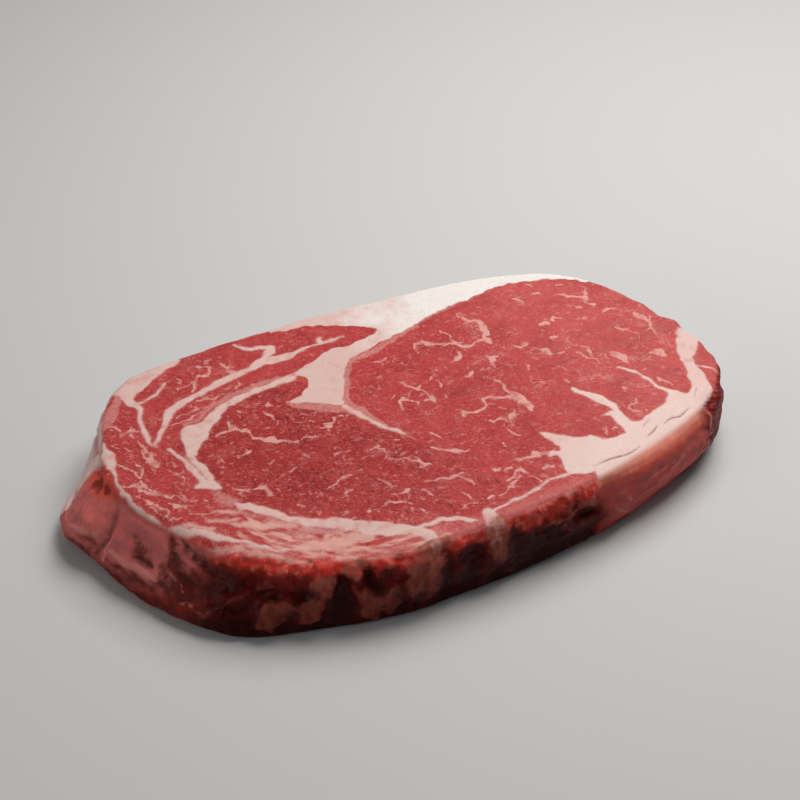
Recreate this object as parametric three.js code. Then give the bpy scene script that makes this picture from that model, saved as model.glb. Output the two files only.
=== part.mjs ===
// A raw boneless ribeye steak, lying on its lower cut face.
//
// Millimetres, +Z up. The origin is the middle of the bounding box, on the resting face.
// X runs along the steak, from the draped flap end (-X) to the tail of the eye (+X).
// Y runs across it, from the trimmed lip (-Y) to the back fat (+Y).
//
// The meat is one solid. Sections stand square to the rim all the way round: each starts on
// the upper cut face, rounds over the shoulder, comes down the side and tucks under at the
// foot. The two cut faces close them: the lower one is flat, the upper one slumps a little.
import * as THREE from "three";

// ---- Driving dimensions ----------------------------------------------------------------
const THICKNESS = 22; // between the two cut faces
const RIM_SECTIONS = 128; // sections round the steak
const SHOULDER_STEPS = 4; // steps over the rounded upper edge
const WALL_STEPS = 5; // steps down the side
const FOOT_RADIUS = 3; // rounding where the side meets the resting face
const FOOT_STEPS = 3; // steps over that rounding
const FACE_RINGS = [0.2, 0.4, 0.6, 0.78, 0.92]; // rings of the upper face, as shares of it
const BASE_RINGS = [0.5]; // and of the lower face
const HEART = { x: 4, y: 0 }; // where the rings of both faces close

// ---- The rim, anticlockwise from above, starting at the flap end -------------------------
// x and y place the rim. shoulder is how far in the upper edge starts to round over, drop is
// how far it comes down in doing so, flare is how far the foot stands out past the rim, and
// bulge is how far the side swells between them.
const RIM = [
  { x: -82, y: 3, shoulder: 3, drop: 3, flare: 9.5, bulge: 2 }, // flap end, under its skin
  { x: -76, y: -12, shoulder: 4, drop: 3, flare: 10.5, bulge: 1.5 },
  { x: -67, y: -30, shoulder: 6, drop: 4, flare: 10, bulge: 1 },
  { x: -52, y: -43.5, shoulder: 7, drop: 5, flare: 3, bulge: 1 }, // streaked lip
  { x: -31, y: -52, shoulder: 6, drop: 5, flare: 0.5, bulge: 1 },
  { x: -6, y: -54, shoulder: 4, drop: 4, flare: 0.5, bulge: 1.5 },
  { x: 20, y: -53.5, shoulder: 3, drop: 4, flare: 0.5, bulge: 1.5 },
  { x: 42, y: -52, shoulder: 4, drop: 5, flare: -0.5, bulge: 1.5 }, // lip fat
  { x: 64, y: -47.8, shoulder: 5, drop: 6, flare: -1, bulge: 2 },
  { x: 82, y: -40, shoulder: 5, drop: 6, flare: -1, bulge: 2 },
  { x: 92.5, y: -29, shoulder: 3, drop: 4, flare: -0.5, bulge: 2 }, // tail
  { x: 96, y: -15, shoulder: 2, drop: 2, flare: 0, bulge: 0.5 },
  { x: 93, y: 5, shoulder: 2, drop: 2, flare: 0, bulge: 0.5 },
  { x: 87, y: 24.5, shoulder: 2, drop: 2, flare: 0, bulge: 0.5 },
  { x: 75.5, y: 38.5, shoulder: 2, drop: 2, flare: 0, bulge: 0.5 }, // back fat
  { x: 55, y: 46.5, shoulder: 2, drop: 2, flare: 0, bulge: 0.5 },
  { x: 26, y: 51.5, shoulder: 2, drop: 2, flare: 0, bulge: 0.5 },
  { x: -6, y: 55, shoulder: 2, drop: 2, flare: 0, bulge: 0.5 },
  { x: -38, y: 55.3, shoulder: 2, drop: 2, flare: 0, bulge: 0.5 }, // rib cap
  { x: -60.5, y: 53.5, shoulder: 3, drop: 2, flare: 0.5, bulge: 0.5 },
  { x: -72.5, y: 43.5, shoulder: 3, drop: 2, flare: 2, bulge: 0.5 },
  { x: -77.5, y: 32.5, shoulder: 2, drop: 2, flare: 7, bulge: 2 }, // tuck behind the flap
  { x: -83, y: 20, shoulder: 3, drop: 3, flare: 13, bulge: 5 }, // flap
];

// ---- Slumps and swells of the upper face ---------------------------------------------------
// rise is in millimetres at the middle of each, and spread is how wide it is.
const SWELLS = [
  { x: 40, y: 5, rise: 0.6, spread: 35 }, // eye
  { x: -30, y: -2, rise: 0.4, spread: 22 }, // under the cap
  { x: -42, y: -36, rise: -1.2, spread: 14 }, // streaked lip sags
  { x: -8, y: 19, rise: -0.6, spread: 9 }, // kernel of fat
  { x: 52, y: -40, rise: -0.5, spread: 14 }, // lip fat
];

// A value that every station states, read smoothly all the way round (t runs from 0 to 1).
function atStation(key, t) {
  const count = RIM.length;
  const place = (((t % 1) + 1) % 1) * count;
  const start = Math.floor(place);
  const u = place - start;
  const [a, b, c, d] = [-1, 0, 1, 2].map((k) => RIM[(start + k + count) % count][key]);
  const slope = (c - a) * u;
  const bend = (2 * a - 5 * b + 4 * c - d) * u ** 2;
  const twist = (3 * b - a - 3 * c + d) * u ** 3;
  return 0.5 * (2 * b + slope + bend + twist);
}

// The place on the rim and the direction that points out of the meat there.
function rimAt(t) {
  const step = 0.2 / RIM_SECTIONS;
  const place = (s) => new THREE.Vector2(atStation("x", s), atStation("y", s));
  const along = place(t + step).sub(place(t - step)).normalize();
  return { place: place(t), out: new THREE.Vector2(along.y, -along.x) };
}

// One section as [out past the rim, height] pairs, from the upper face down to the foot.
function sectionAt(t) {
  const [shoulder, drop, flare, bulge] = ["shoulder", "drop", "flare", "bulge"].map((key) =>
    atStation(key, t),
  );
  const rim = THICKNESS - drop;
  const points = [];
  for (let k = 0; k <= SHOULDER_STEPS; k++) {
    const angle = ((k / SHOULDER_STEPS) * Math.PI) / 2;
    points.push([shoulder * (Math.sin(angle) - 1), THICKNESS - drop * (1 - Math.cos(angle))]);
  }
  for (let k = 1; k <= WALL_STEPS; k++) {
    const u = k / WALL_STEPS;
    const swell = bulge * Math.sin(Math.PI * u);
    points.push([flare * u + swell, THREE.MathUtils.lerp(rim, FOOT_RADIUS, u)]);
  }
  for (let k = 1; k <= FOOT_STEPS; k++) {
    const angle = ((k / FOOT_STEPS) * Math.PI) / 2;
    points.push([flare - FOOT_RADIUS * (1 - Math.cos(angle)), FOOT_RADIUS * (1 - Math.sin(angle))]);
  }
  return points;
}

// How far the upper face stands above or below its plane.
function slump(x, y) {
  return SWELLS.reduce((sum, swell) => {
    const away = Math.hypot(x - swell.x, y - swell.y) / swell.spread;
    return sum + swell.rise * Math.exp(-away * away);
  }, 0);
}

// The closed body: rows of vertices from the heart of the upper face, out over the rim and
// back to the heart of the lower face.
function steakGeometry() {
  const heart = new THREE.Vector2(HEART.x, HEART.y);
  const sections = Array.from({ length: RIM_SECTIONS }, (_, i) => {
    const t = i / RIM_SECTIONS;
    const { place, out } = rimAt(t);
    return sectionAt(t).map(([away, z]) => {
      const point = place.clone().addScaledVector(out, away);
      const lift = slump(point.x, point.y) * THREE.MathUtils.smoothstep(z, FOOT_RADIUS, THICKNESS);
      return new THREE.Vector3(point.x, point.y, z + lift);
    });
  });
  const last = sections[0].length - 1;
  const inward = (share, from, height) =>
    sections.map((section) => {
      const point = heart.clone().lerp(section[from], share);
      return new THREE.Vector3(point.x, point.y, height(point));
    });
  const upper = (point) => THICKNESS + slump(point.x, point.y);
  const rows = [
    ...FACE_RINGS.map((share) => inward(share, 0, upper)),
    ...sections[0].map((_, k) => sections.map((section) => section[k])),
    ...[...BASE_RINGS].reverse().map((share) => inward(share, last, () => 0)),
  ];
  const vertices = rows.flat();
  const upperHeart = vertices.push(new THREE.Vector3(heart.x, heart.y, upper(heart))) - 1;
  const lowerHeart = vertices.push(new THREE.Vector3(heart.x, heart.y, 0)) - 1;

  const triangles = [];
  const bottomRow = (rows.length - 1) * RIM_SECTIONS;
  for (let i = 0; i < RIM_SECTIONS; i++) {
    const j = (i + 1) % RIM_SECTIONS;
    triangles.push(upperHeart, i, j, lowerHeart, bottomRow + j, bottomRow + i);
    for (let row = 0; row < bottomRow; row += RIM_SECTIONS) {
      const below = row + RIM_SECTIONS;
      triangles.push(row + i, below + i, row + j, row + j, below + i, below + j);
    }
  }
  const geometry = new THREE.BufferGeometry().setFromPoints(vertices).setIndex(triangles);
  geometry.computeBoundingBox();
  const middle = geometry.boundingBox.getCenter(new THREE.Vector3());
  geometry.translate(-middle.x, -middle.y, 0);
  geometry.computeVertexNormals();
  return geometry;
}

const meat = new THREE.MeshStandardMaterial({ color: 0xb24c50, roughness: 0.45, metalness: 0 });
const steak = new THREE.Mesh(steakGeometry(), meat);
steak.name = "steak";

const ribeye = new THREE.Group();
ribeye.add(steak);
export default ribeye;
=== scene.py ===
# %% [markdown]
# # A raw ribeye steak
# The imported model already holds the steak as one plain solid of the right size, lying at the origin.
# This script models the same steak as a butcher would see it and puts it in the plain one's place.
# Everything is in metres in Blender, and the sizes given below are written in millimetres.
# %% Load the imported steak
import math
import bmesh
import bpy
import numpy as np
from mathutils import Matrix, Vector, noise


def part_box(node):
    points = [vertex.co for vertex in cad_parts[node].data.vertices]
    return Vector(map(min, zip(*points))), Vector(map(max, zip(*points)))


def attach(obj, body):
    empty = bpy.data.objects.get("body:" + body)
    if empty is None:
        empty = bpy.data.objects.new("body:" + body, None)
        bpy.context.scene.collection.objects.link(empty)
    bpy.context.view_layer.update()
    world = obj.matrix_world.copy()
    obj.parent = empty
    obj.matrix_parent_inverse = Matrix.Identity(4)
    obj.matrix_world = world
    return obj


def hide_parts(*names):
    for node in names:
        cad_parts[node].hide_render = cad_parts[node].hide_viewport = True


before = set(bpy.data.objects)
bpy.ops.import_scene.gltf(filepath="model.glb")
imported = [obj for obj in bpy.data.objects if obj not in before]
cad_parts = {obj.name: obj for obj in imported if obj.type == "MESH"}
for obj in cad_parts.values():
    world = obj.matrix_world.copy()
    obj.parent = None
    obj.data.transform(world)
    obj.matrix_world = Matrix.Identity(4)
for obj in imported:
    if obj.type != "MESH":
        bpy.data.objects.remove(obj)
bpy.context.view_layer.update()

MM = 0.001
low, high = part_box("steak")
steak_size = high - low
THICKNESS = 22.0  # of the cut, between its faces, in millimetres
FLECK_SEED, WOBBLE_SEED = 11, 5
rng = np.random.default_rng(FLECK_SEED)
noise.seed_set(WOBBLE_SEED)  # without this, noise_vector would start from the clock
print("the steak is", [round(v / MM, 1) for v in steak_size], "mm")

# %% [markdown]
# ## The studio
# A food stylist would light a steak like this with one large soft box above and a little behind it, so
# that the cut face is bright and the side towards us falls into shade. A plain pale sweep of paper
# carries it. The lights are area lamps: their size is what makes the shadows soft.
# %% Selecting by hand, in code
def only(*chosen):
    """Selects these objects and nothing else. The last one becomes the active one."""
    bpy.ops.object.select_all(action="DESELECT")
    for thing in chosen:
        thing.select_set(True)
    bpy.context.view_layer.objects.active = chosen[-1]


def apply_modifiers(thing):
    """Bakes every modifier into the mesh, from the top of the stack down."""
    only(thing)
    for modifier in list(thing.modifiers):
        bpy.ops.object.modifier_apply(modifier=modifier.name)


# %% The floor
FLOOR_SIZE = 6.0
PAPER_GREY = (0.52, 0.515, 0.51, 1)
PAPER_ROUGHNESS = 0.85
bpy.ops.object.select_all(action="DESELECT")
bpy.ops.mesh.primitive_plane_add(size=FLOOR_SIZE, location=(0, 0, 0))
floor = bpy.context.object
floor.name = "floor"
paper = bpy.data.materials.new("pale_paper")
paper.use_nodes = True
paper_shader = paper.node_tree.nodes["Principled BSDF"]
paper_shader.inputs["Base Color"].default_value = PAPER_GREY
paper_shader.inputs["Roughness"].default_value = PAPER_ROUGHNESS
floor.data.materials.append(paper)
print("floor", FLOOR_SIZE, "m across")


# %% The lights
def soft_box(name, place, aim, size, watts, colour):
    """A square area lamp at place that faces aim."""
    bpy.ops.object.light_add(type="AREA", location=place)
    lamp = bpy.context.object
    lamp.name = name
    lamp.data.size = size
    lamp.data.energy = watts
    lamp.data.color = colour
    lamp.rotation_euler = (Vector(aim) - Vector(place)).to_track_quat("-Z", "Y").to_euler()


BOX_SIZE = 0.4
OVERHEAD_WATTS, LEFT_WATTS = 4.0, 1.3
WARM, FAINTLY_WARM = (1, 0.985, 0.965), (1, 0.99, 0.97)
SKY, SKY_STRENGTH = (0.95, 0.97, 1, 1), 0.16
soft_box("overhead_box", (0.27, 0.1, 0.52), (0.02, 0.0, 0), BOX_SIZE, OVERHEAD_WATTS, WARM)
soft_box("left_box", (-0.8, -0.1, 0.3), (0, 0, 0.01), BOX_SIZE, LEFT_WATTS, FAINTLY_WARM)
world = bpy.data.worlds.new("studio")
bpy.context.scene.world = world
world.use_nodes = True
sky = world.node_tree.nodes["Background"]
sky.inputs["Color"].default_value = SKY
sky.inputs["Strength"].default_value = SKY_STRENGTH
bpy.context.scene.view_settings.view_transform = "Standard"

# %% The camera
CAMERA_TURN = math.radians(-30)  # round the steak, from looking along +Y
CAMERA_RISE = math.radians(38)  # above the floor
CAMERA_REACH = 515.4 * MM  # from the lens to the cut face
AIM = Vector((3.0, 4.6, THICKNESS)) * MM
SENSOR_WIDTH = 36.0
LENS_ANGLE = math.radians(25)  # from one side of the picture to the other
back = Vector((math.sin(CAMERA_TURN), -math.cos(CAMERA_TURN), math.tan(CAMERA_RISE))).normalized()
bpy.ops.object.camera_add(location=AIM + back * CAMERA_REACH)
camera = bpy.context.object
camera.data.sensor_width = SENSOR_WIDTH
camera.data.lens = SENSOR_WIDTH / 2 / math.tan(LENS_ANGLE / 2)
camera.rotation_euler = back.to_track_quat("Z", "Y").to_euler()
bpy.context.scene.camera = camera
print("camera", [round(v / MM) for v in camera.location], "mm, lens", round(camera.data.lens, 1))

# %% [markdown]
# ## The cut of meat
# The steak is one lump with two cut faces, soft shoulders and a flap that hangs at one end. A block
# of the right size is rounded at its upright corners, then *voxel remesh* gives it an even skin and
# *shrinkwrap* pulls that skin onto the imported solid. Doing both twice, coarse and then fine, keeps
# the squares of the mesh even where the block's corners were far from the meat.
# %% A rounded block of the steak's size
ROUNDING = 0.38  # of the block's depth, at each upright corner
ROUND_STEPS = 8
middle = (low + high) / 2
bpy.ops.object.select_all(action="DESELECT")
bpy.ops.mesh.primitive_cube_add(size=1, location=middle, scale=steak_size)
steak = bpy.context.object
steak.name = "ribeye"
bpy.ops.object.transform_apply(location=True, rotation=True, scale=True)
bpy.ops.object.mode_set(mode="EDIT")
bpy.ops.mesh.select_mode(type="EDGE")
bpy.ops.mesh.select_all(action="DESELECT")
block = bmesh.from_edit_mesh(steak.data)
for edge in block.edges:
    edge.select = abs(edge.verts[0].co.z - edge.verts[1].co.z) > steak_size.z / 2
bmesh.update_edit_mesh(steak.data)
bpy.ops.mesh.bevel(offset=steak_size.y * ROUNDING, segments=ROUND_STEPS, affect="EDGES")
bpy.ops.object.mode_set(mode="OBJECT")
print("block", len(steak.data.polygons), "faces")


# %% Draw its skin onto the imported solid, coarse and then fine
def even_skin(thing, voxel):
    """Rebuilds the whole surface from small squares of one size."""
    remesh = thing.modifiers.new("even_skin", "REMESH")
    remesh.mode = "VOXEL"
    remesh.voxel_size = voxel
    apply_modifiers(thing)


def hug(thing, rounds):
    """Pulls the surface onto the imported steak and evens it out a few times."""
    wrap = thing.modifiers.new("hug", "SHRINKWRAP")
    wrap.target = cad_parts["steak"]
    wrap.wrap_method = "NEAREST_SURFACEPOINT"
    relax = thing.modifiers.new("relax", "SMOOTH")
    relax.iterations = rounds
    apply_modifiers(thing)


COARSE_SQUARE = 2.0 * MM
FINE_SQUARE = 0.5 * MM
RELAX_ROUNDS = 3
even_skin(steak, COARSE_SQUARE)
hug(steak, RELAX_ROUNDS)
hug(steak, 0)
even_skin(steak, FINE_SQUARE)
hug(steak, RELAX_ROUNDS)
print("fine skin", len(steak.data.polygons), "squares")

# %% [markdown]
# The upper face carries the marbling, so it keeps its half-millimetre squares. The side needs fewer,
# and the lower face, which nobody sees while the steak lies, very few. *Decimate* in edit mode only
# touches what is selected, so each zone gets its own share.
# %% Thin out the side and the lower face
def select_faces(thing, wanted):
    """Goes into edit mode with just the faces selected for which wanted(centre, normal) is true."""
    only(thing)
    bpy.ops.object.mode_set(mode="EDIT")
    bpy.ops.mesh.select_mode(type="FACE")
    bpy.ops.mesh.select_all(action="DESELECT")
    shape = bmesh.from_edit_mesh(thing.data)
    for face in shape.faces:
        face.select = wanted(face.calc_center_median(), face.normal)
    bmesh.update_edit_mesh(thing.data)


LOWER_FACE = 0.4 * MM  # below this, it is the lower cut face
LIP = (THICKNESS - 4.0) * MM  # above this, the skin stays fine
BACK = 25 * MM  # beyond this, the side is plain back fat
STEEP = 0.8  # a face that looks up or down by more than this isn't side


def on_the_side(centre, normal):
    """Whether a face belongs to the side, below its lip."""
    return LOWER_FACE <= centre.z < LIP and abs(normal.z) < STEEP


ZONES = {
    "lower face": (0.05, lambda c, n: c.z < LOWER_FACE),
    "back side": (0.2, lambda c, n: on_the_side(c, n) and c.y > BACK),
    "front side": (0.47, lambda c, n: on_the_side(c, n) and c.y <= BACK),
}
for zone, (share, wanted) in ZONES.items():
    select_faces(steak, wanted)
    bpy.ops.mesh.decimate(ratio=share)
    bpy.ops.object.mode_set(mode="OBJECT")
    print(zone, "thinned to", share, "->", len(steak.data.polygons), "faces in all")
triangles = sum(len(p.vertices) - 2 for p in steak.data.polygons)
print("after thinning", triangles, "triangles")

# %% [markdown]
# ## Where every point of the meat lies
# The fat has to follow the real muscles, so each point of the skin needs to know four things: its
# place in plan, how far down the side it is, how far in from the rim and how far round it. The last
# is measured along the outline at mid height, in millimetres, from the middle of the front lip:
# towards the tail it grows, and towards the flap it falls below zero.
# %% Read the skin's points
def read_points(thing):
    """The thing's vertices as rows of x, y and z, in millimetres."""
    flat = np.empty(len(thing.data.vertices) * 3, np.float32)
    thing.data.vertices.foreach_get("co", flat)
    return flat.reshape(-1, 3).astype(float) / MM


def soft_step(x, start, end):
    """0 before start, 1 after end, and a smooth ramp between them."""
    share = np.clip((x - start) / (end - start), 0, 1)
    return share * share * (3 - 2 * share)


points = read_points(steak)
bearing = np.degrees(np.arctan2(points[:, 1], points[:, 0]))
reach = np.hypot(points[:, 0], points[:, 1])
print(len(points), "points")

# %% How far round the rim, and how far in from it
WRAP = 60.0  # the bearing, in the back fat, where the measure starts and ends
MID_HEIGHT, RIM_HEIGHT = 10.0, THICKNESS - 4
SLACK = 0.7  # a point this near to a height counts as at it
turns = np.arange(0, 360.1, 1.0)  # degrees from WRAP on, seen from above against the clock


def outline_reach(height):
    """The distance from the middle to the outline at this height, for each of turns."""
    on = np.abs(points[:, 2] - height) < SLACK
    turn = (bearing[on] - WRAP) % 360
    order = np.argsort(turn)
    turn, far = turn[order], reach[on][order]
    return np.interp(turns, np.r_[turn - 360, turn, turn + 360], np.tile(far, 3))


middle_reach = outline_reach(MID_HEIGHT)
angles = np.radians(turns + WRAP)
outline = np.c_[np.cos(angles), np.sin(angles)] * middle_reach[:, None]
steps = np.hypot(*np.diff(outline, axis=0).T)
travelled = np.r_[0, np.cumsum(steps)]
front = np.interp((-90 - WRAP) % 360, turns, travelled)
own_turn = (bearing - WRAP) % 360
girth = np.interp(own_turn, turns, travelled) - front
rim_reach = np.interp(own_turn, turns, outline_reach(RIM_HEIGHT))
depth = np.maximum(0, THICKNESS - points[:, 2])
inset = np.maximum(0, rim_reach - reach)
print("round the rim:", round(travelled[-1]), "mm")

# %% [markdown]
# ## Drawing the fat
# In a ribeye the fat is drawn by anatomy: broad seams between the muscles, a white band under the
# back, a pad at the lip, and fine marbling inside each muscle. Noise alone can't make that pattern,
# so the seams and the veins that catch the eye are drawn, as an illustrator would: a smooth
# stroke through a few points, each with its half width, or a smooth loop round a patch.
# What is stored on the skin is the distance to the nearest stroke's edge, negative inside. The
# material then cuts that distance with a little noise, which gives crisp and ragged edges at any size.
# %% Strokes and patches
FAR = 5.0  # millimetres: a stroke isn't felt beyond this


def smooth_line(knots, closed=False, steps=5):
    """A curve through the knots. Each column, the half width too, changes smoothly along it."""
    row = np.array(knots, float)
    if closed:
        row = np.vstack([row[-1], row, row[0], row[1]])
    else:
        row = np.vstack([2 * row[0] - row[1], row, 2 * row[-1] - row[-2]])
    u = (np.arange(steps) / steps)[:, None]
    spans = [
        0.5 * (2 * b + (c - a) * u + (2 * a - 5 * b + 4 * c - d) * u**2 + (3 * b - a - 3 * c + d) * u**3)
        for a, b, c, d in zip(row[:-3], row[1:-2], row[2:-1], row[3:])
    ]
    return np.vstack(spans + [row[-2:-1]])


def stroke_gap(at, knots, closed=False, reach_out=FAR):
    """How far each point of at lies outside a stroke of (x, y, half width) knots."""
    curve = smooth_line(knots, closed)
    if curve.shape[1] == 2:
        curve = np.c_[curve, np.zeros(len(curve))]
    gap = np.full(len(at), reach_out)
    lowest, highest = curve[:, :2].min(0) - reach_out, curve[:, :2].max(0) + reach_out
    near = np.flatnonzero(np.all((at > lowest) & (at < highest), axis=1))
    spot, found = at[near], gap[near]
    for start, end in zip(curve[:-1], curve[1:]):
        along = end[:2] - start[:2]
        share = np.clip((spot - start[:2]) @ along / max(along @ along, 1e-9), 0, 1)
        away = np.hypot(*(spot - start[:2] - share[:, None] * along).T)
        found = np.minimum(found, away - start[2] - (end[2] - start[2]) * share)
    gap[near] = found
    return gap


def patch_gap(at, loop):
    """How far each point of at lies outside a smooth closed loop of (x, y) knots."""
    gap = stroke_gap(at, loop, closed=True)
    curve = smooth_line(loop, closed=True)
    inside = np.zeros(len(at), bool)
    for (ax, ay), (bx, by) in zip(curve[:-1], curve[1:]):
        if ay != by:
            crosses = (ay > at[:, 1]) != (by > at[:, 1])
            inside ^= crosses & (at[:, 0] < (bx - ax) * (at[:, 1] - ay) / (by - ay) + ax)
    return np.where(inside, -gap, gap)


def drawn(at, strokes=(), patches=(), reach_out=FAR):
    """The gap from each of the points at to the nearest of these drawings. Negative is inside."""
    gap = np.full(len(at), reach_out)
    for knots in strokes:
        gap = np.minimum(gap, stroke_gap(at, knots, reach_out=reach_out))
    for loop in patches:
        gap = np.minimum(gap, patch_gap(at, loop))
    return gap


plan = points[:, :2]
print("strokes are felt within", FAR, "mm")

# %% [markdown]
# The back fat is one white patch. It starts as a thin skin behind the cap, wraps the cap's tip and
# runs down between the muscles as a kernel of fat, then follows the eye round to the tail.
# %% Back fat and the kernel
BACK_FAT = [
    (-14, 53.6), (-11.5, 51.8), (-8, 50.7), (-4, 49.8), (0, 48.3), (3, 46), (6.5, 44.2), (9.5, 42.8),
    (12, 40.7), (13.9, 38.9), (12.6, 36.3), (10, 35.8), (6, 35.3), (3, 34.6), (0.5, 35.4), (-3, 35.7),
    (-6, 34.9), (-9, 33.9), (-12, 32.7), (-16, 31.5), (-17, 29.5), (-15.3, 26.2), (-17, 23.6),
    (-19.5, 21.6), (-24.8, 19.2), (-21, 16.9), (-17.5, 14.5), (-14.5, 12.2), (-12.2, 10.6), (-11.2, 12.7),
    (-9.6, 16), (-7, 20), (-5.3, 23), (-3.4, 25.8), (-1.4, 28), (1, 29.2), (5, 29.9), (9, 30.8), (14, 32),
    (20, 33), (25, 34), (30, 35.4), (38, 37), (46, 37.4), (51, 37.6), (55, 38.7), (60, 38.6), (65, 37.7),
    (69, 36.3), (74, 34.4), (78, 32), (81, 29.8), (84, 27.6), (90, 33), (80, 50), (55, 62), (20, 68),
    (-10, 66),
]
print("back fat drawn through", len(BACK_FAT), "points")

# %% Seams between the muscles
SEAM_PATCHES = {
    "under the cap": [
        (-16.6, 31.3), (-21, 30.7), (-26, 30), (-31, 29.7), (-36, 29.2), (-41.5, 28.6), (-44.5, 27),
        (-47, 25.6), (-50, 24.2), (-53, 23.6), (-56, 23.4), (-57.8, 22.3), (-58.3, 20), (-59, 17.5),
        (-59.7, 15), (-60, 12.4), (-58.3, 11.2), (-57.2, 12.8), (-55.5, 13.9), (-53.5, 15.8), (-50, 18.8),
        (-47, 21.3), (-44, 23.8), (-41.5, 25.7), (-38, 26.4), (-34, 27.4), (-30, 27.9), (-24, 27.9),
        (-20, 28.2), (-17.4, 28.8),
    ],
    "left corner": [
        (-44, 53.8), (-45.5, 52.4), (-48, 51.3), (-51.5, 50), (-54.5, 48.4), (-57, 46.8), (-59.5, 45.6),
        (-61.5, 44.6), (-62.8, 42.9), (-62.6, 40.9), (-64, 40.2), (-65.2, 42), (-65.4, 45), (-66.4, 47),
        (-66, 51), (-60, 58), (-48, 61),
    ],
    "lip pad": [
        (29.4, -27.4), (31.5, -29.6), (34, -32), (36.5, -34.4), (39, -35.8), (41.5, -36.2), (43, -37.7),
        (44.8, -39.6), (48.5, -39.8), (50.2, -38.8), (50.6, -36.5), (50.8, -34), (50.6, -31.5), (49, -30.2),
        (52, -29.6), (54, -30.6), (54.3, -33), (54.7, -35.5), (56.5, -37.3), (58.8, -37.1), (61, -36),
        (65, -34.6), (68.5, -33.4), (71, -32), (72.2, -30.2), (73.4, -32), (74.6, -33.8), (76.8, -34),
        (79, -32.6), (80.5, -29), (82, -25.5), (84, -21), (86, -16.5), (88.5, -12.5), (91, -9), (93, -6.6),
        (95.5, -8), (97, -12), (94, -15.6), (91.5, -17.5), (89, -19.7), (87.2, -23), (86, -27.5),
        (84.7, -32), (83.5, -35.5), (81, -38.5), (76, -42.3), (70, -45.4), (65, -47.4), (58, -49.8),
        (50, -51.6), (42, -53), (36, -53.4), (32.6, -52), (32.8, -49.2), (30, -48.4), (26.5, -47.2),
        (27, -44.2), (28.2, -41.5), (28, -38.6), (26, -37.6), (27.3, -36.4), (30, -36.4), (30, -33),
        (29.4, -30),
    ],
}
print("seam patches:", ", ".join(SEAM_PATCHES))

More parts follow.
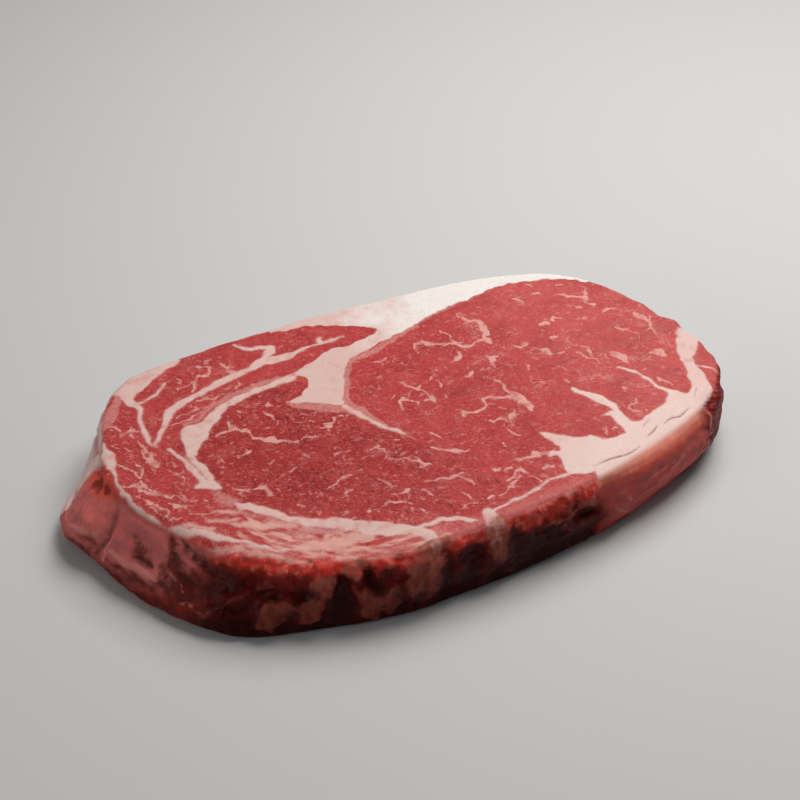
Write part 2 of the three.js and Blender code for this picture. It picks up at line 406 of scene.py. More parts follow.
# %% Seams that are drawn as strokes
SEAMS = {
    "line inside the cap": [
        (4, 39.3, 0.25), (0, 39.8, 0.4), (-6, 40, 0.45), (-10, 39.8, 0.6), (-14, 39.5, 1), (-17, 39.4, 1.5),
        (-20, 39.7, 1.7), (-23, 39.7, 1.3), (-27, 39, 0.9), (-32, 38.6, 1), (-37, 38, 1.1), (-41, 37, 1),
        (-45, 36.2, 0.9), (-49, 35.2, 1), (-52, 34.3, 1.1), (-55, 32.9, 1.2), (-57.3, 30.8, 1),
        (-59, 28.3, 0.9), (-60.4, 26, 0.7), (-62.3, 24.6, 0.7), (-64.2, 23, 0.5), (-65.3, 20.8, 0.3),
    ],
    "cap fork": [
        (-27, 39.8, 0.5), (-24, 41, 0.8), (-21, 42.2, 0.9), (-18.9, 43.6, 1.1), (-17.6, 45.2, 1.3),
        (-19.5, 46.8, 0.9), (-22, 47.8, 0.7), (-24.2, 49, 0.9), (-25.8, 50.6, 0.5), (-26.3, 51.8, 0.3),
    ],
    "cap twig": [(-4.2, 40.3, 0.8), (-3.6, 41.8, 0.7), (-2.5, 42.5, 0.4)],
    "upright seam": [
        (-65.2, 45, 1), (-64.7, 42, 0.9), (-63.6, 40.4, 0.8), (-62.9, 38.6, 0.9), (-63.8, 36.2, 0.7),
        (-64.8, 33.5, 0.5), (-65.6, 30.5, 0.5), (-66.2, 27, 0.6), (-66.5, 24, 0.5), (-66.1, 21.8, 0.3),
        (-65.4, 19.5, 0.25),
    ],
    "upright branch": [
        (-63, 40.3, 0.6), (-60.5, 40.2, 0.5), (-58.2, 41, 0.4), (-56.4, 41.3, 0.4), (-54.8, 42.4, 0.4),
        (-53, 44, 0.5), (-52, 45, 0.3),
    ],
    "left strand": [(-62.8, 17, 0.4), (-62.3, 12, 0.7), (-61.9, 8, 0.7), (-61.4, 4, 0.8), (-61, 0, 0.9)],
    "right strand": [(-59.4, 12, 0.8), (-60, 9, 0.7), (-59.4, 6, 0.9), (-58.7, 3.5, 0.8), (-59, 0, 1.1)],
    "strands' knot": [(-63.4, -0.7, 0.4), (-61.5, -1.4, 1.2), (-59.9, -2.2, 1.9), (-58.5, -4.2, 0.8)],
    "lip seam": [
        (-57.5, -12.5, 0.5), (-56, -14.5, 1.3), (-53.5, -17, 1.5), (-51, -20, 1.5), (-48.5, -23.2, 1.4),
        (-46, -26, 1.4), (-43, -28.3, 1.5), (-39.5, -30.6, 1.9), (-36.4, -33, 2.3), (-33.5, -35.6, 2.2),
        (-30, -38.8, 2.2), (-27, -41.2, 2.2), (-24, -43.4, 2.1), (-21, -45.6, 1.9), (-18.9, -48.2, 1.7),
        (-18.3, -51, 1.5), (-19, -54, 1.1),
    ],
    "lip arch": [
        (-20, -44.8, 0.6), (-16.5, -44.7, 0.7), (-12.5, -45.3, 0.8), (-9.5, -46.9, 0.9), (-7.3, -48.6, 0.6),
        (-5.3, -50, 0.35),
    ],
    "fat break": [(-1, -49.2, 1.8), (-1.1, -51.5, 2.4), (-1.5, -53.5, 2.7), (-1.7, -57, 2.8)],
    "lip line": [
        (0.5, -49.7, 0.6), (2.8, -49.3, 0.4), (5, -48.6, 0.35), (8.5, -48, 0.4), (13, -47.8, 0.4),
        (16.5, -47.1, 0.4), (20, -46.2, 0.4), (24, -46.4, 0.4), (28, -47.3, 0.45), (31, -48, 0.5),
    ],
    "left rim": [
        (-76.5, 34.5, 0.4), (-79, 30, 1), (-79.5, 26, 1.7), (-79.2, 22.5, 1.9), (-79.9, 19, 1.1),
        (-80.4, 15, 0.5), (-81, 10, 0.5), (-81.1, 5, 0.6), (-80.7, 0, 0.6), (-79.6, -4, 0.8),
        (-78.3, -8, 0.9), (-76.6, -11.5, 1), (-73.9, -14.5, 0.8), (-71.1, -17.3, 1), (-68.3, -20, 1.1),
        (-65.8, -22.7, 0.8), (-63, -25.8, 0.6), (-60.2, -28.8, 0.5), (-57.7, -31.6, 0.5),
        (-54.7, -33.9, 0.4), (-51.7, -35.3, 0.3),
    ],
    "back rim": [
        (-66, 48.5, 1), (-60.5, 53, 1), (-50, 54.8, 1), (-38, 55.3, 0.9), (-25, 55.4, 0.9), (-12, 55, 1.2),
        (-6, 54, 1.5),
    ],
    "pad's thumb": [
        (48.5, -16, 0.5), (50, -19, 1.2), (52, -23, 1.7), (53.5, -27, 1.3), (53.2, -30.5, 0.8),
        (52.3, -34, 1.3), (52.5, -38, 2.3),
    ],
    "pad's finger": [
        (66.3, -14, 0.3), (67.5, -16.5, 0.45), (69.3, -18.5, 0.4), (69.7, -21, 0.3), (70, -24, 0.5),
        (70.5, -27, 0.5), (72, -29.5, 0.8), (73, -32, 1.2),
    ],
    "tail thread": [(86.5, -24, 0.3), (89, -27, 0.4), (91.5, -30, 0.25)],
    "eye's root": [
        (-12.3, 9.5, 0.9), (-11.2, 6, 0.7), (-9.8, 2.5, 0.6), (-8.7, -0.5, 0.6), (-7.5, -3, 0.6),
        (-6, -5.3, 0.5), (-4.5, -7, 0.4), (-3.4, -9, 0.25),
    ],
}
print(len(SEAMS), "seam strokes")

# %% Streaks in the lip, where thin sheets of lean and fat lie side by side
STREAKS = [
    [(-61.5, -19.5, 0.5), (-58, -21.6, 1.1), (-54.5, -23.8, 1.1), (-51, -25.3, 1.2), (-47.5, -27.3, 1.1)],
    [(-74.8, -12.5, 0.5), (-72, -13.8, 0.8), (-69.8, -16, 0.8), (-67, -18.5, 0.8)],
    [(-63.6, -12.6, 0.5), (-61.5, -14.3, 0.7), (-59, -15.4, 0.5), (-56.5, -15.3, 0.7)],
    [(-66, -15.5, 0.4), (-63, -17.6, 0.5), (-59.5, -18.6, 0.4)],
    [(-50.5, -35.2, 1.2), (-46, -36.4, 2.2), (-41, -38, 2.2), (-36, -39.2, 1.9), (-32, -41, 1.2)],
    [(-49, -37, 0.6), (-46.5, -39.5, 0.6), (-43.5, -42, 0.5), (-40.5, -44, 0.5), (-38.5, -46.5, 0.4)],
    [(-60.5, -32, 0.5), (-57, -35, 0.6), (-53.5, -38, 0.5), (-50, -41, 0.4)],
    [(-66.5, -26, 0.6), (-63.5, -29, 0.8), (-60.5, -32, 0.7)],
    [(-54, -31.5, 0.3), (-50, -34.2, 0.35), (-46.5, -35, 0.3)],
    [(-44, -36.2, 0.5), (-40.5, -34.2, 0.9), (-38, -36, 0.9)],
    [(-57, -25.5, 0.3), (-52.5, -28.4, 0.4), (-48.5, -31.3, 0.5), (-45, -33, 0.4)],
    [(-70.5, -23.5, 0.4), (-68, -25.5, 0.6), (-65, -28.5, 0.4)],
    [(-42, -41, 0.4), (-38, -43, 0.5), (-34.5, -45.6, 0.5)],
]
print(len(STREAKS), "lip streaks")

# %% [markdown]
# Inside the muscles the marbling is finer. These veins are the ones that make this cut this cut: a
# hook and a long thread in the eye, a star at the tail, a branching vein in the lower muscle.
# %% Veins of the eye
EYE_VEINS = [
    [(18.6, 21, 0.25), (19, 24, 0.3), (20, 26, 0.5), (21.5, 24.8, 0.6), (24, 23, 0.5), (28.5, 20.8, 0.5),
     (30.5, 18.5, 0.5), (33, 16, 0.45), (36, 16.3, 0.4), (38.5, 16.5, 0.6), (39.5, 15, 0.6)],
    [(40.5, 32, 0.4), (39, 31, 0.3), (39, 29, 0.4), (39.5, 27.5, 0.5), (41.5, 26, 0.8), (42.6, 24, 1.1),
     (42.4, 21.5, 1.3), (40.8, 19.5, 1.2), (39.8, 17.8, 0.9), (40, 16, 0.8), (39.7, 14.3, 0.35)],
    [(30, 27, 0.25), (31, 25, 0.4), (31, 22, 0.35), (30.7, 19.5, 0.3)],
    [(5.5, 24, 0.4), (7.5, 23, 0.7), (9.5, 23.3, 0.3)],
    [(28.8, 15.5, 0.3), (28.8, 13.5, 0.5), (27.5, 12.8, 0.6), (25.5, 12.5, 0.3)],
    [(57.8, 30.5, 0.5), (59, 29, 0.7), (59.6, 27.6, 0.3)], [(66, 35, 0.35), (66.5, 33, 0.35)],
    [(65, 30, 0.4), (66, 29.5, 0.4)],
    [(71, 26, 0.3), (73.5, 24, 0.7), (76, 21.8, 0.5), (77.5, 20.3, 1.2), (77.3, 18.5, 0.5),
     (78, 15.8, 0.5)], [(77.5, 20.5, 0.8), (79.5, 22, 0.6), (80.5, 24.8, 0.2)],
    [(74.5, 30.3, 0.5), (75.6, 30, 0.5)], [(58.4, 14.6, 0.8), (59.6, 14.4, 1.1)],
    [(62, 14.3, 0.5), (63, 15.6, 0.6), (65.2, 15, 0.3)], [(72.4, 17.6, 0.5), (73.5, 16, 0.5)],
    [(78, 11.5, 0.4), (80.5, 11.8, 0.6), (82.7, 11, 0.4)], [(70, 10.8, 0.4), (72, 11, 0.4)],
    [(45, 9.5, 0.5), (47.5, 8, 0.5), (48, 9.7, 0.5)], [(57, 7, 0.6), (58.5, 7.4, 0.6)],
    [(34.8, 9.6, 0.35), (37.8, 7.4, 0.65)], [(36, 8, 0.8), (35.5, 6, 0.7), (35, 4, 0.3)],
    [(50, 6, 0.25), (51.5, 4, 0.35), (53, 2.3, 0.35), (55.5, 0.3, 0.3), (57.2, -0.4, 0.2)],
    [(61.5, 5.5, 0.3), (60.5, 4.5, 0.3), (61, 2, 0.3), (62, 0.3, 0.35), (62.8, -1.5, 0.3), (63, -4.5, 0.3)],
    [(59.3, -1.5, 0.3), (60.3, -4, 0.4), (61.5, -6.5, 0.4), (62.6, -8.2, 0.2)],
    [(67.5, -7, 0.6), (69, -8.5, 1.2), (70, -10.5, 1.3), (70, -12.8, 0.8)],
    [(66, -6, 0.3), (65.5, -8.5, 0.3)], [(78, -13, 0.6), (80.5, -13.8, 1.4), (81, -15.5, 0.6)],
    [(86.5, 5, 0.8), (87, 4, 0.9), (86.5, 1, 0.4), (86, -2, 0.5), (85.5, -5, 0.4), (85.3, -7, 0.2)],
    [(87, 1.5, 0.3), (89.5, 2.2, 0.4)], [(84, -3.8, 0.3), (86, -4, 0.3)],
    [(77, 3.5, 0.3), (78, 1.2, 0.6), (79, 0, 0.3), (80, -3, 0.2), (79.5, -6, 0.2)],
    [(73.5, -24, 0.5), (75, -28.5, 0.4)], [(51, -4.5, 0.4), (52, -8, 0.4)],
    [(31.5, -1, 0.4), (32.2, -4, 0.6), (32, -7, 0.7), (32.3, -10, 1.1), (33, -14, 0.8), (33.5, -18, 0.7)],
    [(14, -12, 0.25), (15.5, -10, 0.4), (17.5, -10.3, 0.4), (19, -11.5, 0.7), (21, -11.3, 0.7),
     (22.5, -10, 0.5), (24, -8, 0.5), (26, -8.2, 0.5), (28, -9, 0.5), (30.5, -10, 0.5), (32.3, -9.5, 0.7)],
    [(26.4, -17.8, 1), (27.8, -17.8, 1)], [(48.5, -11.5, 0.4), (49, -13, 0.4)],
    [(61.5, -28.5, 0.3), (60.5, -30, 0.4), (58, -30.6, 0.35), (56.5, -31, 0.2)],
    [(57, -33, 0.4), (59, -34, 0.4)], [(46.5, -35.5, 0.4), (45.5, -38, 0.4)],
    [(48.5, -36, 0.4), (50, -36.5, 0.4)], [(39, -23.8, 0.4), (40, -23.8, 0.4)],
    [(61.5, -23.3, 0.5), (62.4, -23.4, 0.5)], [(67.6, -29, 0.4), (68.4, -29, 0.4)],
    [(42, -3, 0.25), (43.5, -1.2, 0.3)], [(40.5, -7.5, 0.25), (43, -9.5, 0.3)],
    [(7, 11.5, 0.4), (8.5, 8.5, 0.6), (10, 5.5, 0.45), (10.8, 3, 0.5), (11.5, -0.3, 0.3)],
    [(9.8, 5.5, 0.5), (11.2, 7.2, 0.5)], [(8.5, 0.3, 0.3), (11, 0, 0.4)],
    [(1.2, 0.2, 0.3), (2, 2.5, 0.5), (4, 4.5, 0.7), (5.5, 3, 0.6), (6, 0.5, 0.35), (6, -3, 0.25),
     (6.2, -6, 0.25)], [(1, 6.5, 0.2), (3, 7.5, 0.25)], [(14.5, 8.5, 0.25), (17.5, 8.6, 0.25)],
    [(15.5, 3.5, 0.25), (17, 5, 0.25)], [(14.5, -1.5, 0.25), (15.8, 0, 0.25)],
    [(25, 4.2, 0.5), (27.5, 4.3, 0.5)],
    [(-0.5, -18.6, 0.35), (1.5, -20.3, 0.65), (4, -22.5, 0.5), (7.5, -24.8, 0.3)],
    [(3, -12.5, 0.25), (3.7, -15.5, 0.25)], [(20.5, -16.8, 0.3), (22.5, -18, 0.3), (24.5, -19.2, 0.3)],
    [(22, -21, 0.25), (22.3, -24, 0.3), (24, -26.5, 0.25)], [(18, -26.3, 0.5), (18, -28, 0.5)],
    [(17, -34, 0.7), (20, -35.5, 0.9), (24, -35.5, 0.9), (27, -36.5, 0.9)],
    [(9.3, -35, 0.35), (11, -35.2, 0.5)], [(12, -37.2, 0.3), (14, -36.5, 0.4)],
    [(10.3, -41.5, 0.3), (12.5, -39.8, 0.4), (15, -38.6, 0.5), (16.5, -38.4, 0.4), (17, -40.5, 0.25)],
    [(11, -43.5, 0.3), (12.5, -41.8, 0.35), (15, -40.8, 0.35)],
    [(17, -41, 0.25), (18, -43.5, 0.3), (18.2, -45.5, 0.25)], [(21.8, -41, 0.35), (24.8, -41.6, 0.4)],
    [(-6.5, -43.6, 0.25), (-3.5, -44, 0.3), (0, -44.3, 0.3)], [(2.5, -44.2, 0.7), (4.3, -44, 0.6)],
    [(5.8, -45, 0.25), (8, -44.2, 0.35), (10.4, -43, 0.35)], [(-3, -38.8, 0.3), (-2.2, -41.6, 0.35)],
    [(-15.3, -39.2, 0.4), (-14.2, -40.6, 0.4)], [(-18, -37.8, 0.5), (-17.3, -38, 0.5)],
]
print(len(EYE_VEINS), "veins in the eye")

# %% Veins of the lower muscle
LOWER_VEINS = [
    [(-12.5, -15.5, 0.3), (-10.5, -17.5, 0.4), (-8.5, -19.5, 0.6), (-6.5, -22, 0.5), (-5, -23.5, 0.6),
     (-3.5, -24.7, 0.25)], [(-6.5, -18, 0.3), (-5.5, -20.5, 0.3), (-5.3, -22.5, 0.3)],
    [(-7.7, -24, 0.3), (-5.3, -23.4, 0.4)],
    [(-16, -10, 0.25), (-14, -11, 0.3), (-12, -12, 0.3), (-12.2, -14, 0.25), (-13.3, -15.5, 0.25)],
    [(-7.5, -10, 0.35), (-5.5, -10.5, 0.35)],
    [(-8.5, -30, 0.25), (-6, -30.5, 0.35), (-3, -31.5, 0.5), (0, -32, 0.45), (1.7, -32.3, 0.3)],
    [(1, -33.5, 0.3), (2, -35.5, 0.7), (2.3, -37.8, 0.3)],
    [(-10.5, -32.3, 0.5), (-10.3, -34, 0.5), (-10, -36, 0.5)],
    [(-19, -29.5, 0.4), (-17, -30.2, 0.35), (-15, -30.8, 0.35)],
    [(-26.5, -32.3, 0.25), (-23, -32.3, 0.4), (-20, -33.3, 0.5), (-17.8, -34.2, 0.4), (-16.3, -35.7, 0.25)],
    [(-28.3, -33, 0.8), (-27.5, -33, 0.8)], [(-19.5, -23, 0.4), (-18, -25, 0.4), (-18.5, -27, 0.4)],
    [(-33.5, -19.3, 0.3), (-31.5, -18.5, 0.3), (-29, -18.4, 0.35), (-27, -17.2, 0.6), (-25.8, -17.2, 0.5)],
    [(-33.5, -24.4, 0.2), (-31, -24, 0.25), (-29, -22.7, 0.35), (-28, -22.3, 0.5)],
    [(-40.5, 9.5, 0.8), (-39, 7.8, 0.8), (-37, 7.2, 1.15), (-36, 5.5, 1), (-33.5, 3.7, 0.35),
     (-31, 2.3, 0.3), (-28, 2.3, 0.35), (-26, 1.8, 0.3), (-24.7, 1, 0.2)],
    [(-49, 4, 0.25), (-46.5, 4.7, 0.35), (-44.5, 5.5, 0.5)], [(-20.7, 4, 1), (-19.9, 4.1, 1)],
    [(-24.5, 5.5, 0.2), (-22.5, 4, 0.3), (-20.3, 4, 0.5), (-18, 5.7, 0.3), (-15.5, 6, 0.25)],
    [(-20.2, 4, 0.3), (-21.5, 1.5, 0.25)], [(-24, 8.5, 0.35), (-22.8, 7.2, 0.35)],
    [(-14, 5.5, 0.4), (-12.8, 6.3, 0.4)],
    [(-55.5, -6.5, 0.25), (-54, -8, 0.3), (-52, -9.2, 0.3), (-50, -9.8, 0.3), (-48, -10.5, 0.7),
     (-47.5, -12, 0.7), (-48, -13.7, 0.3)], [(-54, 7.5, 0.25), (-53, 5.8, 0.25), (-52.5, 4.7, 0.25)],
    [(-55, 4, 0.2), (-54, 2, 0.25)], [(-38.5, -7.8, 0.4), (-37, -7.2, 0.4)],
    [(-41.8, -2.5, 0.3), (-41.2, -2.4, 0.3)], [(-32, -3.5, 0.25), (-31.2, -6, 0.25)],
    [(-42.5, -21, 0.3), (-41.3, -23, 0.3)], [(-24.5, -7.8, 0.25), (-22, -8.3, 0.3), (-20, -8.6, 0.25)],
    [(-49, 16, 0.5), (-47.5, 16.5, 0.4), (-45.5, 16.8, 0.3), (-44.5, 17.8, 0.4), (-43.2, 19.8, 0.3)],
    [(-44.3, 17.5, 0.4), (-43, 15.5, 0.5), (-41.5, 14, 0.5), (-41.3, 11.8, 0.45), (-40.4, 9.5, 0.7)],
    [(-39, 23.5, 0.3), (-38.8, 21.5, 0.3)], [(-33.3, 18.5, 0.5), (-32.8, 16.5, 0.4), (-32, 13.5, 0.25)],
    [(-35.7, 12, 0.45), (-35.2, 12, 0.45)], [(-34, 23, 0.3), (-32.5, 23, 0.3)],
    [(-30.7, 21.2, 0.5), (-30.2, 21.2, 0.5)],
]
print(len(LOWER_VEINS), "veins in the lower muscle")

# %% Veins of the cap and the flap
CAP_VEINS = [
    [(-34, 45.5, 0.5), (-33.3, 43, 0.5), (-33.2, 41, 0.5), (-33, 40, 0.6)],
    [(-40.5, 47.8, 0.4), (-38.5, 46.5, 0.5), (-38.3, 45, 0.5), (-39.5, 44, 0.5), (-40.5, 42.8, 0.5)],
    [(-36.5, 49, 0.4), (-37, 48, 0.4)],
    [(-47, 38, 0.5), (-45, 40, 0.5), (-43.5, 42, 0.5), (-42, 43, 0.4), (-40.6, 43, 0.4)],
    [(-50.5, 40.8, 0.3), (-47, 41.2, 0.35), (-44.5, 41.8, 0.3)],
    [(-49, 43, 0.3), (-47.2, 44.5, 0.3), (-47.5, 45.5, 0.3)],
    [(-38.5, 34.5, 0.25), (-36, 33.8, 0.3), (-34, 33.5, 0.3), (-33, 34.8, 0.25)],
    [(-35.5, 32, 0.25), (-34, 33.5, 0.3)], [(-30.5, 32, 0.6), (-30.2, 30.7, 0.6)],
    [(-48, 33, 0.3), (-44, 32.6, 0.35), (-41, 31.8, 0.35), (-38, 31.9, 0.25)],
    [(-55.5, 28.8, 0.25), (-51, 29.2, 0.3), (-47, 29.6, 0.35), (-43, 29.8, 0.3)],
    [(-58, 26.6, 0.25), (-54, 26.8, 0.3), (-50, 27.4, 0.3), (-46, 28.4, 0.25)],
    [(-76, 35.5, 0.35), (-73.5, 34.4, 0.35), (-72, 33, 0.4), (-71.5, 31, 0.35), (-72.6, 29.4, 0.3)],
    [(-73, 29.2, 0.3), (-71, 30.2, 0.35), (-69, 30.2, 0.4), (-67, 29.3, 0.4)],
    [(-69.5, 29, 0.25), (-69.3, 25, 0.3), (-69.2, 21, 0.3), (-68.8, 18, 0.25), (-69.4, 16, 0.5),
     (-69.2, 14.3, 0.8), (-68.4, 12.8, 0.4)], [(-70.3, 21, 0.25), (-70, 17, 0.3)],
    [(-69.6, 16, 0.4), (-71, 15, 0.3)],
    [(-78.3, 20, 0.3), (-77.5, 18, 0.35), (-76.3, 16.5, 0.35), (-76, 14, 0.35), (-75.5, 12, 0.35),
     (-74.9, 9.8, 0.35)],
    [(-74, 17, 0.25), (-73.5, 14, 0.3), (-74.3, 11, 0.3), (-75, 9.5, 0.35), (-75.6, 7.2, 0.35),
     (-75, 5, 0.35), (-74, 2, 0.3)], [(-80, 9, 0.5), (-78.5, 8, 0.4), (-77, 7.3, 0.45), (-75.3, 7.3, 0.45)],
    [(-78, 6, 0.6), (-76.5, 4, 0.5), (-75, 2.5, 0.4), (-73, 0.5, 0.35), (-71.5, -1, 0.35), (-70, -1, 0.35),
     (-69, -2.5, 0.35), (-68, -4.5, 0.35), (-66.4, -5.6, 0.25)], [(-68, -4.5, 0.3), (-67.3, -2.5, 0.3)],
    [(-78.5, 4, 0.3), (-77, 0, 0.35), (-75, -4, 0.3), (-73.5, -7, 0.25)],
    [(-71.8, -3.8, 0.35), (-71, -5.8, 0.6), (-69.5, -7, 0.45)],
    [(-67, 10, 0.25), (-65.8, 8, 0.35), (-65, 5, 0.35), (-65.5, 2, 0.3)],
    [(-64.5, -6.5, 0.3), (-63.5, -7.5, 0.35)], [(-73.5, 24.5, 0.25), (-72.5, 22, 0.3)],
    [(-76.2, 26, 0.3), (-75, 24.5, 0.3)], [(-65, 12, 0.25), (-63.8, 9.5, 0.3)],
    [(-77, -2, 0.3), (-75.5, -6.5, 0.35), (-73, -10, 0.3)],
    [(-70, -10, 0.3), (-67, -12, 0.35), (-64.5, -12.5, 0.3)],
]
print(len(CAP_VEINS), "veins in the cap and the flap")

# %% [markdown]
# Three more tissues show on the cut: the pink film that wraps the eye, grey-pink sinew inside the
# seams, and the dark slits where muscle has pulled away from fat. With them go hazes of very fine
# fat, the streaked fat of the lip and a few rusty spots.
# %% Films, sinews, slits and hazes
FILMS = [
    [(-10.8, 11, 1.2), (-9.6, 14.5, 1.3), (-7.2, 18.8, 1.4), (-4.8, 22.6, 1.2), (-2.6, 25.8, 1.1),
     (0.4, 28.2, 1), (4.5, 28.4, 1.2), (9, 28.8, 1.4), (13.5, 30.4, 1.1), (19, 32, 0.8), (28, 34.6, 0.6),
     (38, 36.7, 0.4), (50, 37.2, 0.35)],
    [(-10.5, 10, 1.6), (-9.3, 6, 1.7), (-8.6, 3, 1.4), (-7.6, 0, 1), (-6.6, -3, 0.8), (-5.2, -6, 0.6),
     (-3.8, -8, 0.4), (-3, -10.5, 0.3), (-2.7, -13, 0.2)],
    [(-25.5, 19.3, 0.8), (-23, 16.8, 1.5), (-20, 14.2, 1.8), (-17, 11.8, 1.8), (-14.5, 9.8, 1.5),
     (-12.5, 8, 1)],
    [(-18, 30.6, 0.5), (-24, 30.9, 0.9), (-31, 30.7, 1.1), (-38, 30.3, 1), (-44, 28.9, 0.8), (-50, 26, 0.8),
     (-55, 24.4, 0.7)], [(-60.6, 12, 0.5), (-60.7, 7, 0.7), (-60.1, 2, 0.8)],
    [(-66.5, 47.5, 0.8), (-67.3, 44.5, 1.2), (-69.8, 41.5, 1.8), (-72, 38.5, 1.9), (-75, 36, 1.5),
     (-78.5, 32.5, 1.2)], [(-63, 47.3, 0.8), (-59.5, 48.9, 0.7), (-56.5, 49.8, 0.8), (-53.5, 50.5, 0.5)],
]
SINEWS = [
    [(-61, -5), (-59.2, -5.5), (-57.6, -9), (-56, -12.5), (-58.5, -13), (-60.5, -12), (-60.8, -9)],
    [(-50, -29.3), (-46, -28.9), (-42, -30.2), (-38.5, -32.5), (-36.6, -34.9), (-39, -34.5), (-42, -33),
     (-46, -31.4), (-49, -30.6)],
    [(-60.3, -15.8), (-57, -16.3), (-54, -18.2), (-52.5, -20.3), (-55, -19.8), (-58, -18)],
    [(-53, -21.5), (-51, -23), (-49, -25.2), (-47, -26.8), (-50, -25.8), (-52.5, -23.7)],
]
SLITS = [
    [(34, -47.1, 0.1), (40, -46.9, 0.35), (45, -47.5, 0.3), (50.5, -46.2, 0.15)],
    [(54.5, -43.6, 0.1), (57.5, -42.6, 0.3), (60.3, -41, 0.15)],
    [(61.6, -41.7, 0.1), (65, -40.6, 0.3), (68, -41.2, 0.3), (72.3, -39.5, 0.1)],
    [(55.5, -40.3, 0.05), (57.5, -38.8, 0.2), (60.3, -37.9, 0.05)], [(76, -37, 0.05), (80, -33, 0.15)],
    [(-27, -31.5, 0.05), (-18, -39, 0.1), (-12, -41, 0.05)],
]
HAZE = [
    [(52.5, -13, 1.2), (57, -15, 2.2), (61, -16.5, 1.4)], [(72, -13, 1.2), (76, -15, 1.4)],
    [(64, -22, 0.8), (67, -24, 1.3)], [(-16, -47.3, 1), (-12, -47.8, 1.3)],
    [(25.5, -18.2, 1.5), (28.6, -17.6, 1.5)], [(-22, -40.5, 0.8), (-15, -43.2, 1.2)],
    [(84, 2, 1), (87, -6, 1.5), (85, -12, 1)], [(36, 19, 0.8), (40, 22, 1.6), (39.5, 26, 1)],
    [(30, 8, 0.8), (35, 9.5, 1.5), (41, 7.5, 0.8)],
]
LIP_FAT = [
    (-57, -19), (-52, -22), (-47, -26), (-41, -31), (-35, -36), (-27, -43), (-20, -47), (-16, -49),
    (-15, -51.3), (-34, -50.3), (-47, -43), (-57, -35), (-63, -27.5), (-60.5, -22.5),
]
RUST = [
    [(-17.5, 28.9, 0.5), (-16.6, 27.2, 0.7), (-16.2, 25.4, 0.3)], [(-17.9, 30.3, 0.6), (-19.2, 30.5, 0.3)],
    [(-15.4, 21.3, 0.35), (-14.8, 20.7, 0.35)],
]
print(len(FILMS), "films,", len(SINEWS), "sinews,", len(SLITS), "slits")

# %% [markdown]
# ## The side of the steak
# Round the side, the same tissues come out again. They are drawn on the unrolled side: the first
# number is the way round the rim, the second the height, both in millimetres.
# %% Fat on the side
SIDE_FAT = [
    [(-4.6, 22), (-4.5, 19), (-4.2, 16), (-3, 12), (-1.5, 8.8), (0.3, 8.3), (1.6, 12), (2, 17), (2.4, 22)],
    [(-24, 22), (-27.5, 19), (-28.8, 12), (-27, 5.8), (-22, 4.5), (-18.7, 5.8), (-18.2, 12), (-16.8, 17),
     (-16, 22)], [(-46, 21.5), (-45.5, 17), (-43, 16.2), (-41.5, 17.5), (-40.5, 21.5)],
    [(-68, 6), (-66, 10.3), (-62, 11.8), (-58.8, 10.3), (-60, 6.5), (-64, 4)],
    [(-54.5, 16.3), (-51.5, 17.6), (-48.3, 16.8), (-48, 13.8), (-50.5, 12.2), (-53.5, 13)],
    [(-58.2, 9.3), (-55, 11.2), (-51, 11.6), (-50.2, 8.5), (-52, 5), (-55.5, 4.5), (-57, 7)],
    [(-41.3, 11.8), (-38.5, 12.6), (-35.8, 11), (-35.5, 7), (-37.5, 2.2), (-40.3, 3.5), (-41.4, 7)],
    [(-35, 10.6), (-32, 12.6), (-30, 9), (-31.5, 4.5), (-34.3, 3.6)],
    [(15.2, 15.7), (17, 14.6), (19, 12), (20.6, 11), (19.3, 14), (17, 16.4)],
    [(20, 19), (24, 16), (27.5, 17.5), (31, 17), (32, 14.5), (29.5, 14), (26.5, 15.2), (24, 13.5),
     (21, 16)],
    [(-168, 16), (-158, 21), (-150, 22.5), (-146, 22.5), (-150, 18.5), (-156, 15.5), (-165, 10)],
]
print(len(SIDE_FAT), "patches of fat on the side")

# %% Creases and hollows on the side
CREASES = [
    [(-122.8, 17, 0.2), (-121, 15.2, 0.4), (-119.8, 13, 0.6), (-119.4, 11, 0.7), (-120.4, 8.8, 0.6),
     (-121.5, 6, 0.4)], [(-127.5, 8.4, 0.5), (-125, 8.8, 1), (-122.8, 8.2, 0.9)],
    [(-101.5, 18.6, 0.2), (-99, 17, 0.35), (-95.5, 14.8, 0.5), (-92, 12.8, 0.7), (-89, 11.5, 0.6)],
    [(-97, 19.3, 0.2), (-93, 17.6, 0.5), (-88.5, 16.6, 0.6), (-84, 15.8, 0.5)],
    [(-112, 15.2, 0.2), (-109, 14.2, 0.5), (-107, 13.6, 0.3)],
    [(-109.5, 12.2, 0.3), (-106.5, 11.6, 0.5), (-103, 11.3, 0.4)],
    [(-46.2, 17, 0.6), (-46, 13, 1.2), (-46, 9, 1.2), (-46.5, 5, 0.8)],
    [(-39.5, 18.5, 0.7), (-38.5, 15.5, 0.8), (-36, 13.5, 0.6)], [(-12.5, 18, 0.4), (-12, 14, 0.5)],
    [(24, 14, 0.2), (28, 13, 0.4), (30.5, 12, 0.3)], [(98, 15.5, 0.3), (104, 14, 0.6), (110, 13.6, 0.3)],
    [(78, 12, 0.3), (84, 9.5, 0.6), (91, 9, 0.3)],
]
FLAP_FLUSH = [
    [(-145, 18, 1.2), (-139, 19, 2.2), (-133, 19.6, 2.2), (-128, 19.6, 1.2)],
    [(-173, 17.5, 0.4), (-166, 17, 1.2), (-159, 17.5, 1.5), (-153, 18.5, 0.8)],
]
print(len(CREASES), "creases")
